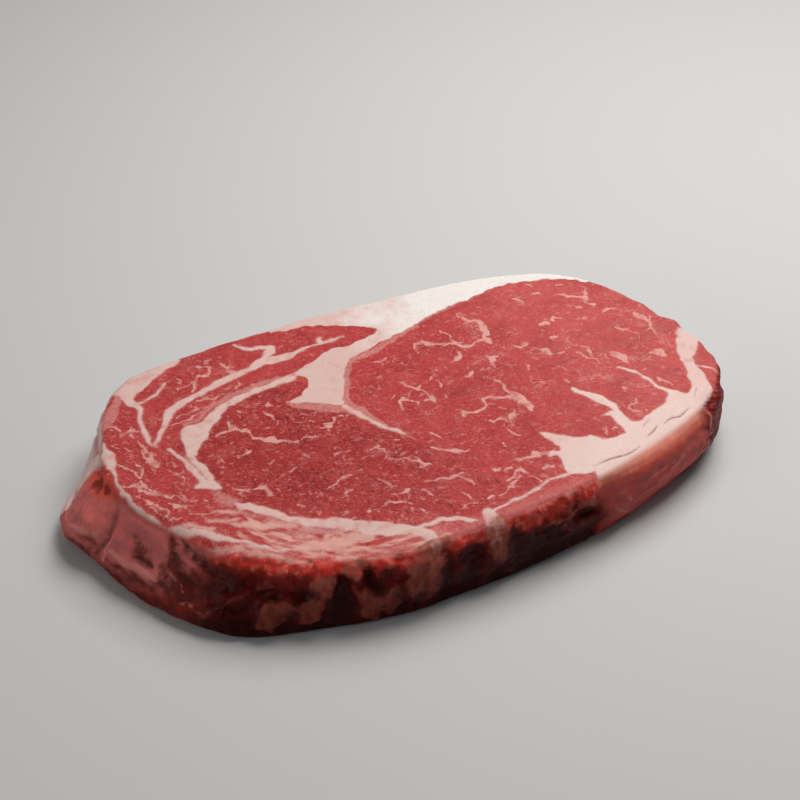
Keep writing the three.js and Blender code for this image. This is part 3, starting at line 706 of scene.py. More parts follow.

# %% Dark and pale places on the side
# Dark places: partly dark streaks of the meat, partly painted shade in hollows and folds
SHADES = [
    [(-133, 6, 0.4), (-129, 5.4, 0.8), (-125, 5, 0.8)],
    [(-112, 15.2, 0.3), (-109, 14, 0.8), (-106.5, 13.2, 0.5)],
    [(-109.5, 12.2, 0.4), (-106, 11.6, 0.8), (-102.5, 11.2, 0.5)],
    [(-101.5, 18.6, 0.4), (-99, 16.5, 1.2), (-96, 13.6, 2.2), (-92.5, 11.8, 2.4), (-88, 11.2, 1.8)],
    [(-98.5, 12, 0.8), (-95.5, 10.5, 1.2), (-92, 9.5, 1.4)],
    [(-97, 19.3, 0.3), (-93, 17.4, 0.9), (-88.5, 16.4, 1.2), (-83, 15.6, 1.2), (-77, 16.5, 0.9)],
    [(-117, 6.6, 0.5), (-112, 6.4, 0.9), (-106, 6.3, 1), (-100, 6.6, 0.9)],
    [(-116, 3, 0.8), (-108, 2.4, 1.4), (-100, 2.5, 1.6), (-93, 3.6, 2)],
    [(-99, 9.3, 0.4), (-96, 8.6, 0.9), (-92, 8.5, 1.4), (-86, 9, 1.3)],
    [(-91, 13, 1.4), (-85, 13, 1.8), (-79, 13.2, 1.8), (-74, 15, 1.2)],
    [(-80, 8.6, 0.9), (-75, 8.6, 1.1), (-71, 10, 0.8)], [(-76, 5.8, 1.2), (-71.5, 6, 1.6), (-69, 5, 1.2)],
    [(-91, 3, 2), (-82, 3.2, 2.2), (-74, 2.5, 2.6), (-66, 2, 2)],
    [(-69.5, 13.5, 0.9), (-66.5, 13.6, 1.3), (-64, 13.2, 0.9)],
    [(-59, 13.6, 0.8), (-56, 13, 1.4), (-54, 13.6, 0.8)],
    [(-62, 7.5, 0.5), (-59.6, 6.6, 0.9), (-58.6, 8.4, 0.5)],
    [(-62, 3.2, 1.6), (-56, 2.4, 1.8), (-50, 2.5, 2.2)],
    [(-46, 17, 1.3), (-46, 13, 2.8), (-46, 9, 3), (-46.5, 5, 3.2), (-47, 1.5, 3.2)],
    [(-39, 18.6, 1.5), (-38.5, 15.5, 1.7), (-36, 13.5, 1.5)], [(-34.2, 18.6, 1.2), (-33.5, 15.5, 1.3)],
    [(-30.5, 9, 1), (-30, 5, 1.4), (-30, 1.5, 1.8)], [(-25.5, 8, 0.8), (-25, 3, 1.6)],
    [(-16.8, 17.5, 1), (-17, 12, 2.2), (-17, 7, 2.8), (-17, 2, 3.4)],
    [(-9, 17.8, 1.6), (-8.5, 13, 3.3), (-9.5, 8, 2.4), (-10, 3, 3.4)],
    [(-1.8, 6, 1.4), (-1, 3, 2.6), (0, 1, 3.2)], [(4.4, 18.8, 1.2), (5.5, 14, 2.4), (7, 9, 4.4), (9, 4, 5)],
    [(10, 13.6, 1.6), (14, 12, 2.4), (16, 8, 4.4), (18, 4, 4.4)],
    [(23, 17.6, 0.6), (24.8, 17, 1), (26.5, 16, 0.6)],
    [(24, 13.8, 0.9), (27.5, 13.2, 1.4), (30.5, 13, 1.2)], [(24, 5, 1.6), (29, 4.5, 1.4), (33, 2, 1.4)],
    [(38, 1.5, 1.2), (46, 1, 1.2)], [(78, 17.5, 0.5), (82, 15, 0.9), (86, 12.5, 0.6)],
    [(88, 18, 0.4), (93, 15, 0.8), (97, 12, 0.5)], [(80, 9, 0.6), (85, 6, 1), (90, 4, 0.8)],
    [(100, 9, 0.5), (104, 6, 0.9), (108, 3.5, 0.6)],
]
# Pale places: partly torn threads, partly painted highlights on ridges and wet glints
GLEAMS = [
    [(-133, 9.8, 0.3), (-129, 10.3, 0.6), (-125, 10.9, 0.6), (-122.5, 11.2, 0.3)],
    [(-118.4, 12.5, 0.3), (-117.9, 9, 0.5), (-118.5, 6, 0.4)],
    [(-116.5, 9.5, 0.5), (-110, 9.2, 0.8), (-103, 9.2, 0.7), (-98.5, 9.3, 0.3)],
    [(-97, 12.4, 0.12), (-93, 11, 0.2), (-90, 9.6, 0.12)],
    [(-78, 10.2, 0.12), (-75, 11.5, 0.25), (-72, 13, 0.2), (-68, 14.9, 0.35), (-64, 15.3, 0.2)],
    [(-90, 7.2, 0.2), (-86, 7.2, 0.35), (-82, 6.4, 0.2), (-80, 8, 0.25), (-77.5, 9.6, 0.15)],
    [(-84, 5.2, 0.15), (-80, 6.5, 0.2)], [(-57.8, 17.2, 0.4), (-57, 17.4, 0.4)],
    [(-61, 12.4, 0.15), (-60.4, 9, 0.25), (-61.5, 6.5, 0.15)],
    [(-43.5, 14.6, 0.2), (-42, 12.2, 0.5), (-41.6, 9, 0.3)],
    [(-22.2, 18, 0.2), (-22.4, 13, 0.3), (-21.6, 8, 0.2)],
    [(15.8, 15.8, 0.25), (17.4, 14.6, 0.5), (19, 13, 0.4)], [(25, 11.4, 0.25), (26.3, 9.6, 0.3)],
    [(-7.2, 13.4, 0.35), (-6.9, 12.6, 0.35)], [(-13.7, 7.2, 0.4), (-13.4, 6, 0.4)],
    [(12, 13.5, 0.12), (16, 9.8, 0.2), (20, 6, 0.12)], [(27.4, 17.6, 0.3), (30.5, 17.1, 0.4)],
    [(82, 19.5, 0.3), (80.4, 15, 0.6), (78, 9, 0.5), (75.8, 3, 0.4)],
    [(50, 13.8, 0.12), (57, 14.2, 0.25), (64, 14.4, 0.25), (72, 14.6, 0.12)],
    [(36, 12, 0.15), (40, 8.5, 0.3), (45, 5, 0.15)],
    [(47, 9.5, 0.12), (53, 10.6, 0.25), (60, 12.6, 0.25), (66, 14.6, 0.12)],
    [(60, 5.5, 0.15), (66, 8, 0.3), (71, 11.5, 0.2)], [(39, 15, 0.2), (42, 12.6, 0.35), (44.5, 9.8, 0.2)],
]
print(len(SHADES), "dark places and", len(GLEAMS), "pale ones")

# %% [markdown]
# ## Marks on the skin
# Each drawing is now turned into a number at every point of the skin, which Blender calls an
# *attribute*. A material reads it by its name, and it stays put however the steak is turned.
# The short flecks between the veins are scattered at random, but only inside the lean.
# %% Distances to the drawings
def wobble(at, size, amount, shift=0.0):
    """The points, each pushed aside by soft noise, so that what is drawn on them has kinks."""
    pushes = [noise.noise_vector((x / size, y / size, shift)) for x, y in at]
    return at + amount * np.array(pushes)[:, :2]


buried = 0.35 * np.maximum(0, depth - 3)  # the drawings of the cut face fade out down the side
indoors = 2.0 * np.maximum(0, inset - 2.5)  # and those of the side stop at the rim
waved = wobble(plan, 3.2, 0.9)  # for the broad seams
kinked = wobble(wobble(plan, 2.6, 1.3), 0.9, 0.45, 7.0)  # for the veins
side = np.c_[girth, points[:, 2]]
rippled = wobble(side, 3.0, 1.6, 3.0)
pearl = drawn(waved, patches=[BACK_FAT])
seams = drawn(waved, SEAMS.values(), SEAM_PATCHES.values()) + buried
side_fat = drawn(rippled, patches=SIDE_FAT) + indoors
streaks = drawn(waved, STREAKS) + buried
films = drawn(waved, FILMS) + buried
sinews = drawn(kinked, patches=SINEWS) + buried
slits = drawn(plan, SLITS) + buried
creases = drawn(side, CREASES) + indoors
shades = drawn(rippled, SHADES) + indoors
gleams = drawn(wobble(side, 4.0, 0.8, 3.0), GLEAMS) + indoors
haze = drawn(kinked, HAZE) + buried
lip_fat = drawn(kinked, patches=[LIP_FAT]) + buried
print("inside the back fat", int((pearl < 0).sum()), "points, inside the seams", int((seams < 0).sum()))


# %% Scatter short flecks of fat between the veins
def fleck(place, heading, length, width):
    """A short, slightly bent stroke, thin at both ends."""
    bend = rng.normal(0, 0.35)
    along = np.array([math.cos(heading), math.sin(heading)]) * length / 2
    turned = np.array([math.cos(heading + bend), math.sin(heading + bend)]) * length / 2
    return [(*(place - along), width * 0.4), (*place, width), (*(place + turned), width * 0.4)]


def twigs(strokes, chance):
    """Short thorns that leave some knots of these strokes sideways."""
    grown = []
    for knots in strokes:
        for (ax, ay, _), (bx, by, width) in zip(knots[:-1], knots[1:]):
            if rng.random() < chance:
                heading = math.atan2(by - ay, bx - ax) + rng.choice((-1, 1)) * rng.uniform(0.6, 1.5)
                reach = rng.uniform(0.8, 2.6)
                tip = (bx + reach * math.cos(heading), by + reach * math.sin(heading), 0.05)
                grown.append([(bx, by, min(width, 0.3)), tip])
    return grown


FLECKS, TRIES = 1500, 9000
GRAIN = math.radians(-28)  # the flecks lie along the fibres, more or less
CLEARANCE = 0.8  # of a fleck from the drawn fat
on_top = depth < 2.5
spots = rng.uniform((-84, -56), (92, 52), (TRIES, 2))
flecks = []
top_points, top_fat = plan[on_top], np.minimum(pearl, seams)[on_top]
for spot in spots:
    closest = np.argmin(np.sum((top_points - spot) ** 2, axis=1))
    if np.hypot(*(top_points[closest] - spot)) < 1 and top_fat[closest] > CLEARANCE:
        turn = GRAIN + rng.normal(0, 0.55)
        flecks.append(fleck(spot, turn, rng.uniform(0.3, 1.7), 0.1 + 0.24 * rng.random() ** 2.5))
    if len(flecks) == FLECKS:
        break
drawn_veins = EYE_VEINS + LOWER_VEINS + CAP_VEINS
veins = drawn(kinked, drawn_veins + twigs(drawn_veins, 0.4)) + buried
specks = drawn(kinked, flecks, reach_out=1.5) + buried
print(len(flecks), "flecks of fat")

# %% [markdown]
# Away from the front, the side is covered. A pinkish skin wraps the flap and the wall of the lip pad,
# and the rib cap and the eye lie under a coat of white fat that goes all the way down. Between flap
# and pad the front is bare, wet meat: dark, and painted darker still as shade, with a bright ragged
# lip where it meets the cut face.
# Between pad and coat, at the tail, drier lean shows.
# %% Skin, coat and bare front
FLAP_SKIN = (-144.5, -86)  # from and to, round the rim
PAD_SKIN = (34, 79)
COAT = (118, -144.5)  # from and to, over the back
BARE = (-84, 36)


def between(span, blur):
    """1 between the two girths, 0 outside, with soft ends."""
    start, end = span
    return soft_step(girth, start - blur, start + blur) * (1 - soft_step(girth, end - blur, end + blur))


def rumple(size, tall=None, shift=0.0):
    """Soft noise from about -1 to 1, with bumps of this size round the rim and this tall."""
    spread = np.c_[points[:, :2] / size + shift, points[:, 2] / (tall or size)]
    return np.array([2 * noise.noise(spot) for spot in spread])


height = points[:, 2]
# tissues never end in a straight line
torn_girth = girth + 2.6 * rumple(7.0, 5.0, 91.0) + 1.2 * rumple(2.2, 2.0, 95.0)
slant = 1.6 * np.maximum(0, 15 - height)  # towards the floor the flap's skin reaches less far forwards
over_flap = 0.5 * np.maximum(0, 14 - height)  # and the coat comes a little further round the flap
pad_slant = 0.4 * (height - 12)  # the pad's skin ends in a line that leans back
flap_skin = soft_step(torn_girth - over_flap, FLAP_SKIN[0] - 1.5, FLAP_SKIN[0] + 1.5)
flap_skin *= 1 - soft_step(torn_girth + slant, FLAP_SKIN[1] - 4, FLAP_SKIN[1] + 4)
pad_skin = soft_step(torn_girth, PAD_SKIN[0] - 3, PAD_SKIN[0] + 3)
past_pad = soft_step(torn_girth - pad_slant, PAD_SKIN[1] - 2.5, PAD_SKIN[1] + 2.5)
pad_skin *= 1 - past_pad
skin = np.maximum(flap_skin * soft_step(depth, 1.0, 3.0), pad_skin * soft_step(depth, 0.3, 1.8))
past_coat = np.where(girth > 0, COAT[0] - torn_girth, torn_girth - COAT[1] - over_flap)
coat = np.maximum(past_coat, 0.9 - depth)
tail_wall = past_pad * soft_step(depth, 0.5, 1.5)
bare = between(BARE, 7.0) * (1 - flap_skin)
flush = drawn(side, FLAP_FLUSH) + indoors
# The lower muscle is darker than the eye
LOWER_MUSCLE = [
    (-17, 30), (-30, 29), (-43, 27), (-56, 22), (-60, 10), (-58, -6), (-54, -15), (-46, -26), (-34, -34),
    (-22, -43), (-8, -49), (2, -49), (10, -46), (8, -36), (4, -26), (0, -16), (-4, -8), (-10, 4), (-16, 13),
    (-24, 19), (-17, 25),
]
muscle = drawn(plan, patches=[LOWER_MUSCLE])
print("skin covers", round(float((skin > 0.5).mean()) * 100), "% of the points")


# %% Keep them as attributes of the mesh
def keep(thing, **marks):
    """Stores each row of numbers as an attribute of the points, for the material to read by its name."""
    for name, values in marks.items():
        layer = thing.data.attributes.new(name, "FLOAT", "POINT")
        layer.data.foreach_set("value", values.astype(np.float32))


keep(steak, pearl=pearl, seams=seams, streaks=streaks, films=films, sinews=sinews, slits=slits)
keep(steak, creases=creases, veins=veins, specks=specks, rust=drawn(plan, RUST) + buried, flush=flush)
keep(steak, side_fat=side_fat, skin=skin, coat=coat, bare=bare, muscle=muscle, depth=depth, inset=inset)
keep(steak, coat_end=past_coat, tail_wall=tail_wall, shades=shades, gleams=gleams, haze=haze)
keep(steak, lip_fat=lip_fat, girth=girth)
print("attributes", [layer.name for layer in steak.data.attributes if layer.data_type == "FLOAT"])

# %% [markdown]
# ## Relief
# Meat isn't smooth. Where the muscle is bare, the lip stands out in soft lobes over a hollow, fat
# patches stay proud, and the flap's skin is folded. On the cut face the fat stands a tenth of a
# millimetre above the lean. All of it is added up as one height per point. Two vertex groups
# carry the heights, one out and one in, and *displace* moves the skin along its normals by that much.
# %% Edges and zones of the relief
def near_edge(gap, start, end):
    """1 where the gap is below start, 0 above end."""
    return 1 - soft_step(gap, start, end)


on_side = soft_step(depth, 1.5, 4.0) * soft_step(height, 0.0, 3.0)
covered = soft_step(depth, 0.8, 3.0) * (1 - bare) * (1 - skin)
covered_rim = np.exp(-(((depth - 2.0) / 1.2) ** 2)) * (1 - bare) * (1 - skin)
print("the side is", round(float((on_side > 0.5).mean()) * 100), "% of the points")

# %% Heights on the side
def mound(at_girth, at_height, wide, tall):
    """1 at one place of the side, and softly down to 0 around it."""
    return np.exp(-(((girth - at_girth) / wide) ** 2) - ((height - at_height) / tall) ** 2)


lean_front = bare * soft_step(side_fat, -0.3, 1.2)
lobes = rumple(2.6, 9.0) * 0.6 + rumple(6.0, 12.0, 5.0) * 0.5
lip_line = np.exp(-(((depth - 2.2) / 1.8) ** 2))
relief = 0.95 * lobes * lip_line * bare * soft_step(depth, 0.3, 2.0)
relief -= 0.7 * lean_front * soft_step(depth, 2.5, 6.0) * soft_step(height, 1.0, 5.0)
relief -= 0.5 * near_edge(shades, -1.0, 1.5) * on_side * bare
relief -= 0.95 * near_edge(creases, -0.6, 1.6) * on_side
relief += 0.4 * near_edge(gleams, -0.2, 0.9) * on_side
# How high, how wide, how tall, which noise, and where
FOLDS = [
    (0.5, 5.0, 9.0, 11.0, on_side * bare), (0.25, 1.7, 3.0, 3.0, on_side * bare),
    (0.3, 9.0, 4.0, 21.0, on_side * skin), (0.12, 2.5, 1.6, 31.0, on_side * skin),
    (0.45, 16.0, 4.5, 41.0, covered), (0.18, 4.0, 2.2, 45.0, covered), (0.35, 4.0, 9.0, 71.0, covered_rim),
]
for amount, wide, tall, shift, zone in FOLDS:
    relief += amount * rumple(wide, tall, shift) * zone
print("side relief", round(relief.min(), 2), "to", round(relief.max(), 2), "mm")

# %% Hollows and swellings round the side: their girth, height, width, tallness and how far they swell
MOUNDS = [
    (-146, 11.5, 10, 6, -3), (-128, 0.5, 9, 3, -1.8), (-128, 11.5, 5, 2.6, 0.8),
    (-124.5, 7.2, 2.6, 2, -0.9), (-112, 9.4, 8, 1.8, 0.7), (-106, 5.5, 8, 1.8, -0.7),
    (-82, 1.5, 9, 2.6, -1.2), (66, 4, 14, 4.5, -1.5), (95, 12, 7, 4.5, -1.3), (60, 16.5, 16, 3, 0.5),
    (-104, 17.5, 7, 2, 0.5), (128, 20.5, 2.6, 3, 0.8), (122.5, 20.5, 2.2, 3, -0.7), (134, 20.5, 2, 3, -0.5),
    (141, 20.5, 3, 3, 0.5), (90, 19.5, 2.5, 2.5, 0.7), (98, 19.5, 2, 2.5, -0.6), (112, 20, 2.5, 2.5, -0.5),
]
for at_girth, at_height, wide, tall, swell in MOUNDS:
    relief += swell * mound(at_girth, at_height, wide, tall)
print(len(MOUNDS), "hollows and swellings")

# %% Heights on the cut face
on_face = near_edge(depth, 1.0, 3.0)
relief += on_face * 0.09 * near_edge(np.minimum(seams, pearl), -0.5, 0.4)
relief += on_face * 0.06 * near_edge(veins, -0.2, 0.3)
relief += on_face * 0.04 * rumple(2.2, shift=81.0) * near_edge(lip_fat, -1.0, 1.0)
relief -= on_face * 0.3 * near_edge(slits, -0.2, 0.4)
relief += on_face * 0.07 * rumple(6.0, shift=51.0)
relief += on_face * 0.16 * rumple(17.0, shift=61.0)
print("relief", round(relief.min(), 2), "to", round(relief.max(), 2), "mm")

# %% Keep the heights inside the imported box
normals = np.empty(len(steak.data.vertices) * 3, np.float32)
steak.data.vertices.foreach_get("normal", normals)
normals = normals.reshape(-1, 3)
SIDELONG = 0.05  # a point that faces an axis by less than this can't leave the box along it
SPARE = 0.02  # what is left free inside the box, in millimetres
for axis in range(3):
    away = np.abs(normals[:, axis])
    room = np.where(normals[:, axis] > 0, high[axis] / MM - points[:, axis], points[:, axis] - low[axis] / MM)
    tight = away > SIDELONG
    relief[tight] = np.minimum(relief[tight], np.maximum(0, room[tight] - SPARE) / away[tight])
print("relief inside the box", round(relief.min(), 2), "to", round(relief.max(), 2), "mm")


# %% Move the skin
LEAST_MOVE = 0.002  # millimetres: less than this isn't worth a weight


def displace_by(thing, name, amount):
    """Moves each point along its normal by amount, in millimetres: out with one group, in with another."""
    for way, sign in (("out", 1), ("in", -1)):
        heights = np.maximum(0, sign * amount)
        peak = heights.max()
        group = thing.vertex_groups.new(name=f"{name}_{way}")
        for index in np.flatnonzero(heights > LEAST_MOVE):
            group.add([int(index)], heights[index] / peak, "REPLACE")
        displace = thing.modifiers.new(f"{name}_{way}", "DISPLACE")
        displace.vertex_group = group.name
        displace.strength = sign * peak * MM
        displace.mid_level = 0.0
    apply_modifiers(thing)
    thing.vertex_groups.clear()


displace_by(steak, "relief", relief)
print("skin moved,", len(steak.data.vertices), "points")

# %% [markdown]
# ## The finish
# Raw meat is wet lean, soft fat and film, and they meet at ragged edges. So the finish is built in
# layers, as paint would be: lean first, then fine marbling, veins, film and seams, and at last the
# white fat. One shader node group, *ragged_cut*, turns a distance into a mask with a torn edge, and
# every layer places it with its own values. Two more groups make long grain and fine marbling. All
# their patterns are measured in millimetres.
# %% Small helpers for node trees
def add_node(tree, kind, **settings):
    """Adds a node. A setting that names one of its inputs sets that, and any other sets the node itself."""
    node = tree.nodes.new(kind)
    for name, value in settings.items():
        title = name.replace("_", " ").title()
        if title in node.inputs:
            node.inputs[title].default_value = value
        else:
            setattr(node, name, value)
    return node


def wire(tree, source, target):
    """Joins two sockets, or sets the target to a plain value."""
    if isinstance(source, bpy.types.NodeSocket):
        tree.links.new(source, target)
    else:
        target.default_value = source


def maths(tree, operation, first, second=0.0, third=0.0):
    """One Math node, as a socket."""
    node = add_node(tree, "ShaderNodeMath", operation=operation)
    for slot, given in zip(node.inputs, (first, second, third)):
        wire(tree, given, slot)
    return node.outputs[0]


def ramp(tree, value, start, end, low_value=0.0, high_value=1.0):
    """A smooth ramp from low_value at start to high_value at end."""
    node = add_node(tree, "ShaderNodeMapRange", interpolation_type="SMOOTHSTEP")
    titles = ("Value", "From Min", "From Max", "To Min", "To Max")
    for title, given in zip(titles, (value, start, end, low_value, high_value)):
        wire(tree, given, node.inputs[title])
    return node.outputs[0]


def new_group(name, inputs, outputs):
    """An empty shader node group with these sockets. Returns it with its inner input and output nodes."""
    group = bpy.data.node_groups.new(name, "ShaderNodeTree")
    for title, (kind, value) in inputs.items():
        socket = group.interface.new_socket(title, in_out="INPUT", socket_type=kind)
        if value is not None:
            socket.default_value = value
    for title, kind in outputs.items():
        group.interface.new_socket(title, in_out="OUTPUT", socket_type=kind)
    return group, group.nodes.new("NodeGroupInput"), group.nodes.new("NodeGroupOutput")


FLOAT, VECTOR = "NodeSocketFloat", "NodeSocketVector"
print("helpers ready")

# %% Group: a ragged cut
ragged_cut, entry, leave = new_group(
    "ragged_cut",
    {
        "Place": (VECTOR, None), "Gap": (FLOAT, 0.0), "Tear": (FLOAT, 0.4), "Tear Size": (FLOAT, 1.5),
        "Soft": (FLOAT, 0.2),
    },
    {"Mask": FLOAT},
)
tear = add_node(ragged_cut, "ShaderNodeTexNoise", detail=3.0, roughness=0.6)
wire(ragged_cut, entry.outputs["Place"], tear.inputs["Vector"])
wire(ragged_cut, maths(ragged_cut, "DIVIDE", 1.0, entry.outputs["Tear Size"]), tear.inputs["Scale"])
swing = maths(ragged_cut, "MULTIPLY_ADD", tear.outputs["Fac"], 2.6, -1.3)
torn = maths(ragged_cut, "MULTIPLY_ADD", swing, entry.outputs["Tear"], entry.outputs["Gap"])
inner = maths(ragged_cut, "MULTIPLY", entry.outputs["Soft"], -1.0)
wire(ragged_cut, ramp(ragged_cut, torn, inner, entry.outputs["Soft"], 1.0, 0.0), leave.inputs["Mask"])
print("group", ragged_cut.name)

# %% Group: grain that is drawn out along one direction of the cut
drawn_grain, entry, leave = new_group(
    "drawn_grain",
    {
        "Place": (VECTOR, None), "Turn": (FLOAT, 0.0), "Length": (FLOAT, 3.0), "Width": (FLOAT, 0.5),
        "Roughness": (FLOAT, 0.6),
    },
    {"Value": FLOAT},
)
turned = add_node(drawn_grain, "ShaderNodeVectorRotate", rotation_type="Z_AXIS")
wire(drawn_grain, entry.outputs["Place"], turned.inputs["Vector"])
wire(drawn_grain, entry.outputs["Turn"], turned.inputs["Angle"])
split = add_node(drawn_grain, "ShaderNodeSeparateXYZ")
wire(drawn_grain, turned.outputs[0], split.inputs[0])
joined = add_node(drawn_grain, "ShaderNodeCombineXYZ")
for axis, measure in (("X", "Length"), ("Y", "Width"), ("Z", "Length")):
    share = maths(drawn_grain, "DIVIDE", split.outputs[axis], entry.outputs[measure])
    wire(drawn_grain, share, joined.inputs[axis])
grain = add_node(drawn_grain, "ShaderNodeTexNoise", detail=3.0, scale=1.0)
wire(drawn_grain, joined.outputs[0], grain.inputs["Vector"])
wire(drawn_grain, entry.outputs["Roughness"], grain.inputs["Roughness"])
wire(drawn_grain, grain.outputs["Fac"], leave.inputs["Value"])
print("group", drawn_grain.name)

# %% Group: fine marbling, short worms of fat in patches
fine_marbling, entry, leave = new_group(
    "fine_marbling",
    {"Place": (VECTOR, None), "Size": (FLOAT, 2.0), "Thickness": (FLOAT, 0.03), "Amount": (FLOAT, 0.5)},
    {"Mask": FLOAT},
)
per_size = maths(fine_marbling, "DIVIDE", 1.0, entry.outputs["Size"])
path = add_node(fine_marbling, "ShaderNodeTexNoise", detail=2.0, roughness=0.5, distortion=0.6)
wire(fine_marbling, entry.outputs["Place"], path.inputs["Vector"])
wire(fine_marbling, per_size, path.inputs["Scale"])
off_path = maths(fine_marbling, "ABSOLUTE", maths(fine_marbling, "SUBTRACT", path.outputs["Fac"], 0.5))
thread = ramp(fine_marbling, off_path, maths(fine_marbling, "MULTIPLY", entry.outputs["Thickness"], 0.35),
              entry.outputs["Thickness"], 1.0, 0.0)
pieces = add_node(fine_marbling, "ShaderNodeTexNoise", detail=2.0, roughness=0.7)
wire(fine_marbling, entry.outputs["Place"], pieces.inputs["Vector"])
wire(fine_marbling, maths(fine_marbling, "MULTIPLY", per_size, 1.9), pieces.inputs["Scale"])
generous = maths(fine_marbling, "MULTIPLY", entry.outputs["Amount"], 0.35)
threshold = maths(fine_marbling, "SUBTRACT", 0.72, generous)
kept = ramp(fine_marbling, pieces.outputs["Fac"], threshold, maths(fine_marbling, "ADD", threshold, 0.09))
wire(fine_marbling, maths(fine_marbling, "MULTIPLY", thread, kept), leave.inputs["Mask"])
print("group", fine_marbling.name)

# %% [markdown]
# ### One material
# Lean, fat and skin are one lump, so they share one material, and each finish below is a colour with a
# mask, laid over what is there already. Separate materials would need hard borders in the mesh, and
# meat has none. The helpers read a drawing, make soft noise or lay a colour, so a layer is one line.
# %% The material, its coordinates and its marks
raw_beef = bpy.data.materials.new("raw_beef")
raw_beef.use_nodes = True
beef = raw_beef.node_tree
shader = beef.nodes["Principled BSDF"]
where = add_node(beef, "ShaderNodeTexCoord")
in_mm = add_node(beef, "ShaderNodeMapping", scale=(1000, 1000, 1000))
wire(beef, where.outputs["Object"], in_mm.inputs["Vector"])
place = in_mm.outputs["Vector"]
axes = add_node(beef, "ShaderNodeSeparateXYZ")
wire(beef, place, axes.inputs[0])
at_x, at_y, at_z = (axes.outputs[axis] for axis in "XYZ")


def placed(group, **given):
    """This group in the material, with these inputs. Returns its first output."""
    node = add_node(beef, "ShaderNodeGroup", node_tree=group)
    for name, value in {"place": place, **given}.items():
        wire(beef, value, node.inputs[name.replace("_", " ").title()])
    return node.outputs[0]


def mark(name):
    """The attribute of this name, as a socket."""
    return add_node(beef, "ShaderNodeAttribute", attribute_name=name).outputs["Fac"]


def cut(name, tear=0.4, tear_size=1.5, soft=0.2):
    """The mask of one drawing, with a ragged edge."""
    return placed(ragged_cut, gap=mark(name), tear=tear, tear_size=tear_size, soft=soft)


def cloud(size, detail=2.0, shift=0.0, tall=None):
    """Soft noise, about 0.3 to 0.7, with blots of this size and this tall."""
    node = add_node(beef, "ShaderNodeTexNoise", detail=detail, scale=1.0)
    spread = add_node(beef, "ShaderNodeMapping", location=(shift, shift, shift))
    spread.inputs["Scale"].default_value = (1 / size, 1 / size, 1 / (tall or size))
    wire(beef, place, spread.inputs["Vector"])
    wire(beef, spread.outputs[0], node.inputs["Vector"])
    return node.outputs["Fac"]


def times(*values):
    """The product of these sockets and numbers."""
    product = values[0]
    for value in values[1:]:
        product = maths(beef, "MULTIPLY", product, value)
    return product


def tint(red, green, blue):
    """A screen colour, 0 to 255 in each part, as the linear colour that Blender wants."""
    parts = [v / 255 for v in (red, green, blue)]
    return (*(((part + 0.055) / 1.055) ** 2.4 if part > 0.04 else part / 12.92 for part in parts), 1.0)


def layer(under, over, mask, blend="MIX"):
    """The colour under, covered with the colour over where the mask is 1."""
    node = add_node(beef, "ShaderNodeMix", data_type="RGBA", blend_type=blend)
    for slot, given in ((0, mask), (6, under), (7, over)):
        wire(beef, given, node.inputs[slot])
    return node.outputs[2]


depth_mark, bare_mark, skin_mark = mark("depth"), mark("bare"), mark("skin")
face_only = ramp(beef, depth_mark, 1.0, 3.0, 1.0, 0.0)
print("material", raw_beef.name)

# %% [markdown]
# ### Lean
# Cut lean isn't one red: the eye is bright and pales towards the tail, and the lower muscle is darker.
# One flat red with a noisy bump would look like clay. So wide clouds shift the red, and noise that is
# drawn out along the fibres adds dark scratches where they gape and pale ones where they catch light.
# %% Lean on the cut face
EYE_RED, TAIL_RED, LOWER_RED = tint(174, 60, 60), tint(187, 82, 80), tint(156, 46, 46)
DARK_RED, PALE_RED = tint(104, 27, 27), tint(196, 104, 100)
lower_mask = cut("muscle", 5.0, 14.0, 5.0)
lean = layer(EYE_RED, TAIL_RED, ramp(beef, at_x, 15.0, 75.0))
lower_share = ramp(beef, at_y, -42.0, -14.0, 0.2, 0.85)
lean = layer(lean, LOWER_RED, times(lower_mask, lower_share))
lean = layer(lean, DARK_RED, ramp(beef, cloud(8.0, 3.0), 0.42, 0.7, 0.0, 0.22))
lean = layer(lean, PALE_RED, ramp(beef, cloud(5.0, 3.0, 15.0), 0.48, 0.75, 0.0, 0.25))
inset_mark = mark("inset")
# near the bare front rim the lean is painted paler: painted sheen on the rounded, wet lip
front_rim_sheen = times(ramp(beef, inset_mark, 8.0, 1.0), bare_mark)
lean = layer(lean, PALE_RED, times(front_rim_sheen, 0.9))
print("lean painted")

# %% Its grain: dark scratches between the fibres and pale ones on them
def grainy(turn, length, width, roughness=0.5, at=place):
    """Noise drawn out along the direction turn, in degrees, as a socket."""
    given = {"turn": math.radians(-turn), "length": length, "width": width}
    return placed(drawn_grain, place=at, roughness=roughness, **given)


def laid_out(across, up):
    """These two sockets as the X and Y of a vector."""
    node = add_node(beef, "ShaderNodeCombineXYZ")
    wire(beef, across, node.inputs["X"])
    wire(beef, up, node.inputs["Y"])
    return node.outputs[0]


scratches = grainy(76, 2.4, 0.7)
where_scratched = ramp(beef, cloud(9.0, 2.0, 27.0), 0.45, 0.6, 0.0, 1.0)
where_scratched = times(where_scratched, maths(beef, "MULTIPLY_ADD", lower_mask, 0.55, 0.15))
lean = layer(lean, DARK_RED, times(ramp(beef, scratches, 0.48, 0.36), where_scratched))
granules = cloud(0.75, 2.0, 33.0)
lean = layer(lean, DARK_RED, ramp(beef, granules, 0.46, 0.3, 0.0, 0.28))
lean = layer(lean, PALE_RED, ramp(beef, granules, 0.54, 0.7, 0.0, 0.36))
fibres = grainy(-28, 1.5, 0.5)
lean = layer(lean, PALE_RED, ramp(beef, fibres, 0.54, 0.72, 0.0, 0.45))
lean = layer(lean, DARK_RED, ramp(beef, fibres, 0.44, 0.28, 0.0, 0.3))
print("grain painted")
